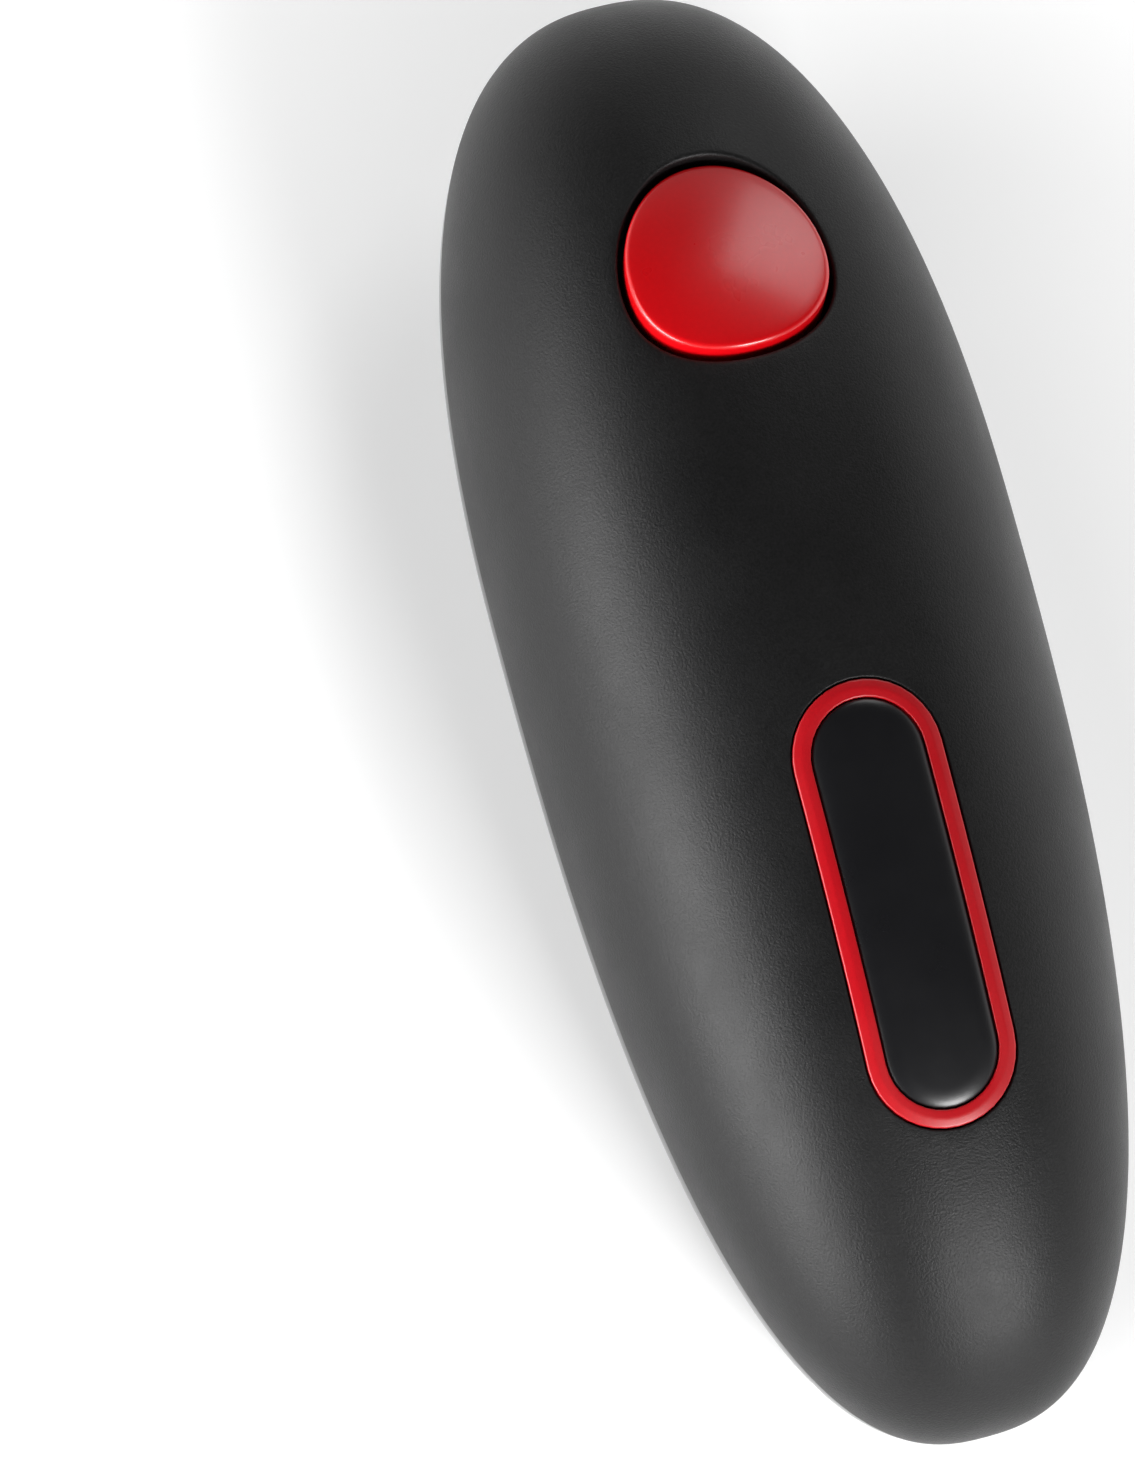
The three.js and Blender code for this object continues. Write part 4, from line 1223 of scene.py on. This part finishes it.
class OPENER_OT_underside(Making, bpy.types.Operator):
    """Make the wear plate, the lid magnet and every screw on the underside"""

    bl_idname = "opener.underside"
    bl_label = "Underside fittings"

    def execute(self, context):
        middle, length = (PLATE_FRONT + PLATE_REAR) / 2, PLATE_FRONT - PLATE_REAR
        plate = slab(lambda m: stadium(middle, length, 2 * PLATE_HALF, m), -PLATE_HALF, 0.0, 1.0, 0.2)
        plate = plate.object("wear_plate_face", FINISHES["steel"], 35)
        places = [(DRUM_X, 0, HUB_R + 0.6), (WHEEL_X, 0, 3.4), *((x, y, 2.1) for x, y in PLATE_SCREWS)]
        holes = [turned(disc(r, -3, 3), x, y) for x, y, r in places]
        drill(plate, [net.object("drill", FINISHES["steel"]) for net in holes])
        hand_over(plate, "case", "steel", "wear_plate")

        magnet = turned(rounded(disc(MAGNET_R, -3, 1), 0.6, 4), MAGNET_X, 0)
        deliver(magnet, "magnet_disc", "dark_steel", 35, "case", "dark_steel", "lid_magnet")
        self.screws("case_screw_heads", CASE_SCREWS, 2.7, 1.2, [f"case_screw_{k}" for k in range(1, 6)])
        self.screws("plate_screw_heads", PLATE_SCREWS, 1.8, 0.1, ["wear_plate_screw_1", "wear_plate_screw_2"])
        return {"FINISHED"}

    @staticmethod
    def screws(name, places, radius, depth, nodes):
        """One pan head with a cross recess, repeated at every screw."""
        dome_high, shank = 0.35, radius * 0.45
        dome = [(0, -dome_high), (shank, -0.3), (radius * 0.85, -0.05), (radius, 0.3), (radius, 1.3)]
        head = turned([*dome, (shank, 1.6), (shank, 9), (0, 10)], count=48)
        screw = head.object("screw", FINISHES["steel"], 40, Matrix.Identity(4))
        arm, slot = radius * 0.62, radius * 0.14
        cutters = [box_net((-x, -y, -2), (x, y, 0.35), 0.05) for x, y in ((arm, slot), (slot, arm))]
        drill(screw, [net.object("recess", FINISHES["steel"], 40, Matrix.Identity(4)) for net in cutters])
        tree, start, end = new_tree(
            name,
            (("Depth", "NodeSocketFloat", depth + dome_high), ("Screw", "NodeSocketObject", None)),
        )
        source = add(tree, "GeometryNodeObjectInfo", {0: start.outputs["Screw"]})
        number = add(tree, "GeometryNodeInputIndex")
        angle = add(tree, "ShaderNodeMath", {0: number.outputs[0]}, {1: 0.7}, operation="MULTIPLY")
        turn = add(tree, "ShaderNodeCombineXYZ", {2: angle.outputs[0]})
        spread = add(
            tree, "GeometryNodeInstanceOnPoints",
            {0: start.outputs[0], "Instance": source.outputs["Geometry"], "Rotation": turn.outputs[0]},
        )
        lift = add(tree, "ShaderNodeCombineXYZ", {2: start.outputs["Depth"]})
        moved = add(tree, "GeometryNodeTransform", {0: spread.outputs[0], "Translation": lift.outputs[0]})
        finish_tree(tree, end, moved.outputs[0], FINISHES["steel"])
        piece = grown(name, tree, [(x, y, 0) for x, y in places], FINISHES["steel"], 40, {"Screw": screw})
        bpy.data.objects.remove(screw)
        hand_over(piece, "case", "steel", *nodes)


def drill(piece, cutters):
    """Cuts each of the cutters out of a piece and removes them."""
    for cutter in cutters:
        modifier = piece.modifiers.new("cut", "BOOLEAN")
        modifier.operation, modifier.solver, modifier.object = "DIFFERENCE", "EXACT", cutter
    mesh = applied(piece)
    piece.modifiers.clear()
    piece.data = mesh
    soften(mesh, 35)
    for cutter in cutters:
        bpy.data.objects.remove(cutter)


class OPENER_OT_cells(Making, bpy.types.Operator):
    """Make the four battery cells in their sleeves"""

    bl_idname = "opener.cells"
    bl_label = "Battery cells"

    def execute(self, context):
        r, end, nub = CELL_R, CELL_LENGTH, 2.7
        base = [(0, 0), (r - 0.7, 0), (r - 0.6, 0.3), (r, 0.3)]
        shoulder = [(r, end - 0.4), (r - 0.9, end - 0.4), (r - 1.0, end)]
        profile = [*base, *shoulder, (nub, end), (nub, end + 1.4), (0, end + 1.4)]
        for number, (side, row, facing) in enumerate(CELLS, 1):
            net = turned(rounded(profile, 0.25, 2), count=64)
            mesh = bpy.data.meshes.new(f"cell_{number}")
            mesh.from_pydata([tuple(p) for p in net.points], [], net.faces)
            layer = mesh.uv_layers.new(name="UVMap")
            for polygon in mesh.polygons:
                for corner in polygon.loop_indices:
                    p = mesh.vertices[mesh.loops[corner].vertex_index].co
                    bare = p.z > CELL_LENGTH - 0.3 or p.z < 0.2
                    around = math.atan2(p.y, p.x) / math.tau + 0.5
                    layer.data[corner].uv = (around, 1.1 if bare else p.z / CELL_LENGTH)
            stand = Matrix.Translation((CELL_BASES[facing], side * CELL_Y, CELL_ROWS[row]))
            lay = Matrix.Rotation(facing * math.pi / 2, 4, "Y")
            piece = finished(f"cell_{number}", mesh, FINISHES["cell"], 35, PLACE @ stand @ lay)
            hand_over(piece, "case", "cell", f"battery_{number}")
        return {"FINISHED"}


class OPENER_OT_stage(Making, bpy.types.Operator):
    """Make the floor, the lights, the world and the camera"""

    bl_idname = "opener.stage"
    bl_label = "Stage"

    def execute(self, context):
        self.floor()
        self.lights()
        self.world()
        self.camera()
        return {"FINISHED"}

    @staticmethod
    def floor():
        size = 3.0
        stretch = (7.0, 14.0, 0)  # the floor's painted glow, weaker close to the opener as a painted shadow, spreads in an oval, about twice as long as it is wide
        mesh = bpy.data.meshes.new("floor")
        corners = [(x * size, y * size, 0) for x, y in ((-1, -1), (1, -1), (1, 1), (-1, 1))]
        mesh.from_pydata(corners, [], [(0, 1, 2, 3)])
        paper = surface("floor", (0.86, 0.86, 0.86), 0.7, rough_vary=0.02, specular_ior_level=0.1)
        tree = paper.node_tree
        shader = tree.nodes["Principled BSDF"]
        # painted glow: the floor gives off white light of its own
        shader.inputs["Emission Color"].default_value = (1, 1, 1, 1)
        where = add(tree, "ShaderNodeTexCoord").outputs["Object"]
        away = add(tree, "ShaderNodeVectorMath", {0: where}, {1: stretch}, operation="MULTIPLY")
        reach = add(tree, "ShaderNodeVectorMath", {0: away.outputs[0]}, operation="LENGTH").outputs["Value"]
        # painted shadow close to the opener: the glow is 0.22 there and rises to 0.5 further out; far off, up to
        # 0.45 more painted glow is added
        near = ranged(tree, reach, (0.7, 1.5), (0.22, 0.5))
        far = ranged(tree, reach, (2.5, 14.0), (0.0, 0.45))
        both = add(tree, "ShaderNodeMath", {0: near, 1: far}, operation="ADD")
        tree.links.new(both.outputs[0], shader.inputs["Emission Strength"])
        mesh.materials.append(paper)
        floor = bpy.data.objects.new("floor", mesh)
        bpy.context.scene.collection.objects.link(floor)

    @staticmethod
    def lights():
        # name, place and target in level millimetres, size along and across in metres, power in watts
        rig = (
            ("left_strip", (-180, 640, 150), (-30, 0, 30), 0.6, 0.24, 7.0),
            ("left_far_strip", (240, 620, 260), (30, 0, 30), 0.35, 0.12, 1.3),
            ("right_soft", (60, -640, 240), (0, 0, 30), 0.8, 0.3, 0.5),
            ("nose_soft", (560, -380, 520), (50, 0, 40), 0.34, 0.4, 1.3),
            ("tail_soft", (-560, -140, 400), (-60, 0, 30), 0.22, 0.22, 4.0),
        )
        for name, place, target, wide, high, power_watts in rig:
            data = bpy.data.lights.new(name, "AREA")
            data.shape = "RECTANGLE"
            data.size, data.size_y, data.energy = wide, high, power_watts
            light = bpy.data.objects.new(name, data)
            light.location = PLACE @ Vector(place)
            aim = PLACE @ Vector(target) - light.location
            light.rotation_euler = aim.to_track_quat("-Z", "Y").to_euler()
            bpy.context.scene.collection.objects.link(light)
        bpy.context.scene.view_settings.view_transform = "Standard"

    @staticmethod
    def world():
        """White at the horizon and below, and nearly dark overhead."""
        horizon, overhead, dark_from = (1, 1, 1, 1), (0.02, 0.02, 0.02, 1), 0.6
        world = bpy.data.worlds.new("studio")
        world.use_nodes = True
        tree = world.node_tree
        where = add(tree, "ShaderNodeTexCoord")
        split = add(tree, "ShaderNodeSeparateXYZ", {0: where.outputs["Generated"]})
        ramp = add(tree, "ShaderNodeValToRGB", {0: split.outputs[2]})
        for end, position, colour in zip(ramp.color_ramp.elements, (0.0, dark_from), (horizon, overhead)):
            end.position, end.color = position, colour
        tree.links.new(ramp.outputs[0], tree.nodes["Background"].inputs[0])
        tree.nodes["Background"].inputs[1].default_value = 1.0
        bpy.context.scene.world = world

    @staticmethod
    def camera():
        """Above the opener, a little to its left and behind, with its nose up and to the left in view."""
        side, behind, roll = (math.radians(a) for a in (13.785, 5.409, -15.43))
        pan, tip = (math.radians(a) for a in (-1.822, -0.241))
        away, look_height, lens = 984.2, 25.0, 184.94
        level = math.cos(behind)
        out = Vector((-math.sin(behind), math.sin(side) * level, math.cos(side) * level))
        top = (Vector((1, 0, 0)) - out * out.x).normalized()
        across = top.cross(out)
        right = across * math.cos(roll) + top * math.sin(roll)
        top = top * math.cos(roll) - across * math.sin(roll)
        forward = -out * math.cos(pan) * math.cos(tip) + right * math.sin(pan) + top * math.sin(tip)
        forward.normalize()
        right = (right - forward * right.dot(forward)).normalized()
        top = right.cross(forward)
        data = bpy.data.cameras.new("camera")
        data.lens, data.sensor_width = lens, 36.0
        camera = bpy.data.objects.new("camera", data)
        turn = Matrix((right, top, -forward)).transposed().to_4x4()
        at = Matrix.Translation((out * away + Vector((0, 0, look_height))) / 1000)
        camera.matrix_world = LEVEL @ at @ turn
        bpy.context.scene.collection.objects.link(camera)
        bpy.context.scene.camera = camera


STEPS = (
    OPENER_OT_finishes,
    OPENER_OT_stage,
    OPENER_OT_upper_casing,
    OPENER_OT_lower_casing,
    OPENER_OT_battery_cover,
    OPENER_OT_start_button,
    OPENER_OT_badge,
    OPENER_OT_cutter,
    OPENER_OT_drive_wheel,
    OPENER_OT_underside,
    OPENER_OT_cells,
)


class OPENER_PT_panel(bpy.types.Panel):
    """Lists the opener's sizes, colours and pieces"""

    bl_idname = "OPENER_PT_panel"
    bl_label = "Can opener"
    bl_space_type = "VIEW_3D"
    bl_region_type = "UI"
    bl_category = "Can opener"

    def draw(self, context):
        settings = context.scene.can_opener
        for name in settings.__annotations__:
            self.layout.prop(settings, name)
        for step in STEPS:
            self.layout.operator(step.bl_idname)


CLASSES = (OpenerSettings, *STEPS, OPENER_PT_panel)


def register():
    for cls in CLASSES:
        bpy.utils.register_class(cls)
    bpy.types.Scene.can_opener = PointerProperty(type=OpenerSettings)


def unregister():
    del bpy.types.Scene.can_opener
    for cls in reversed(CLASSES):
        bpy.utils.unregister_class(cls)


def main():
    register()
    for step in STEPS:
        group, name = step.bl_idname.split(".")
        getattr(getattr(bpy.ops, group), name)()


if __name__ == "__main__":
    main()
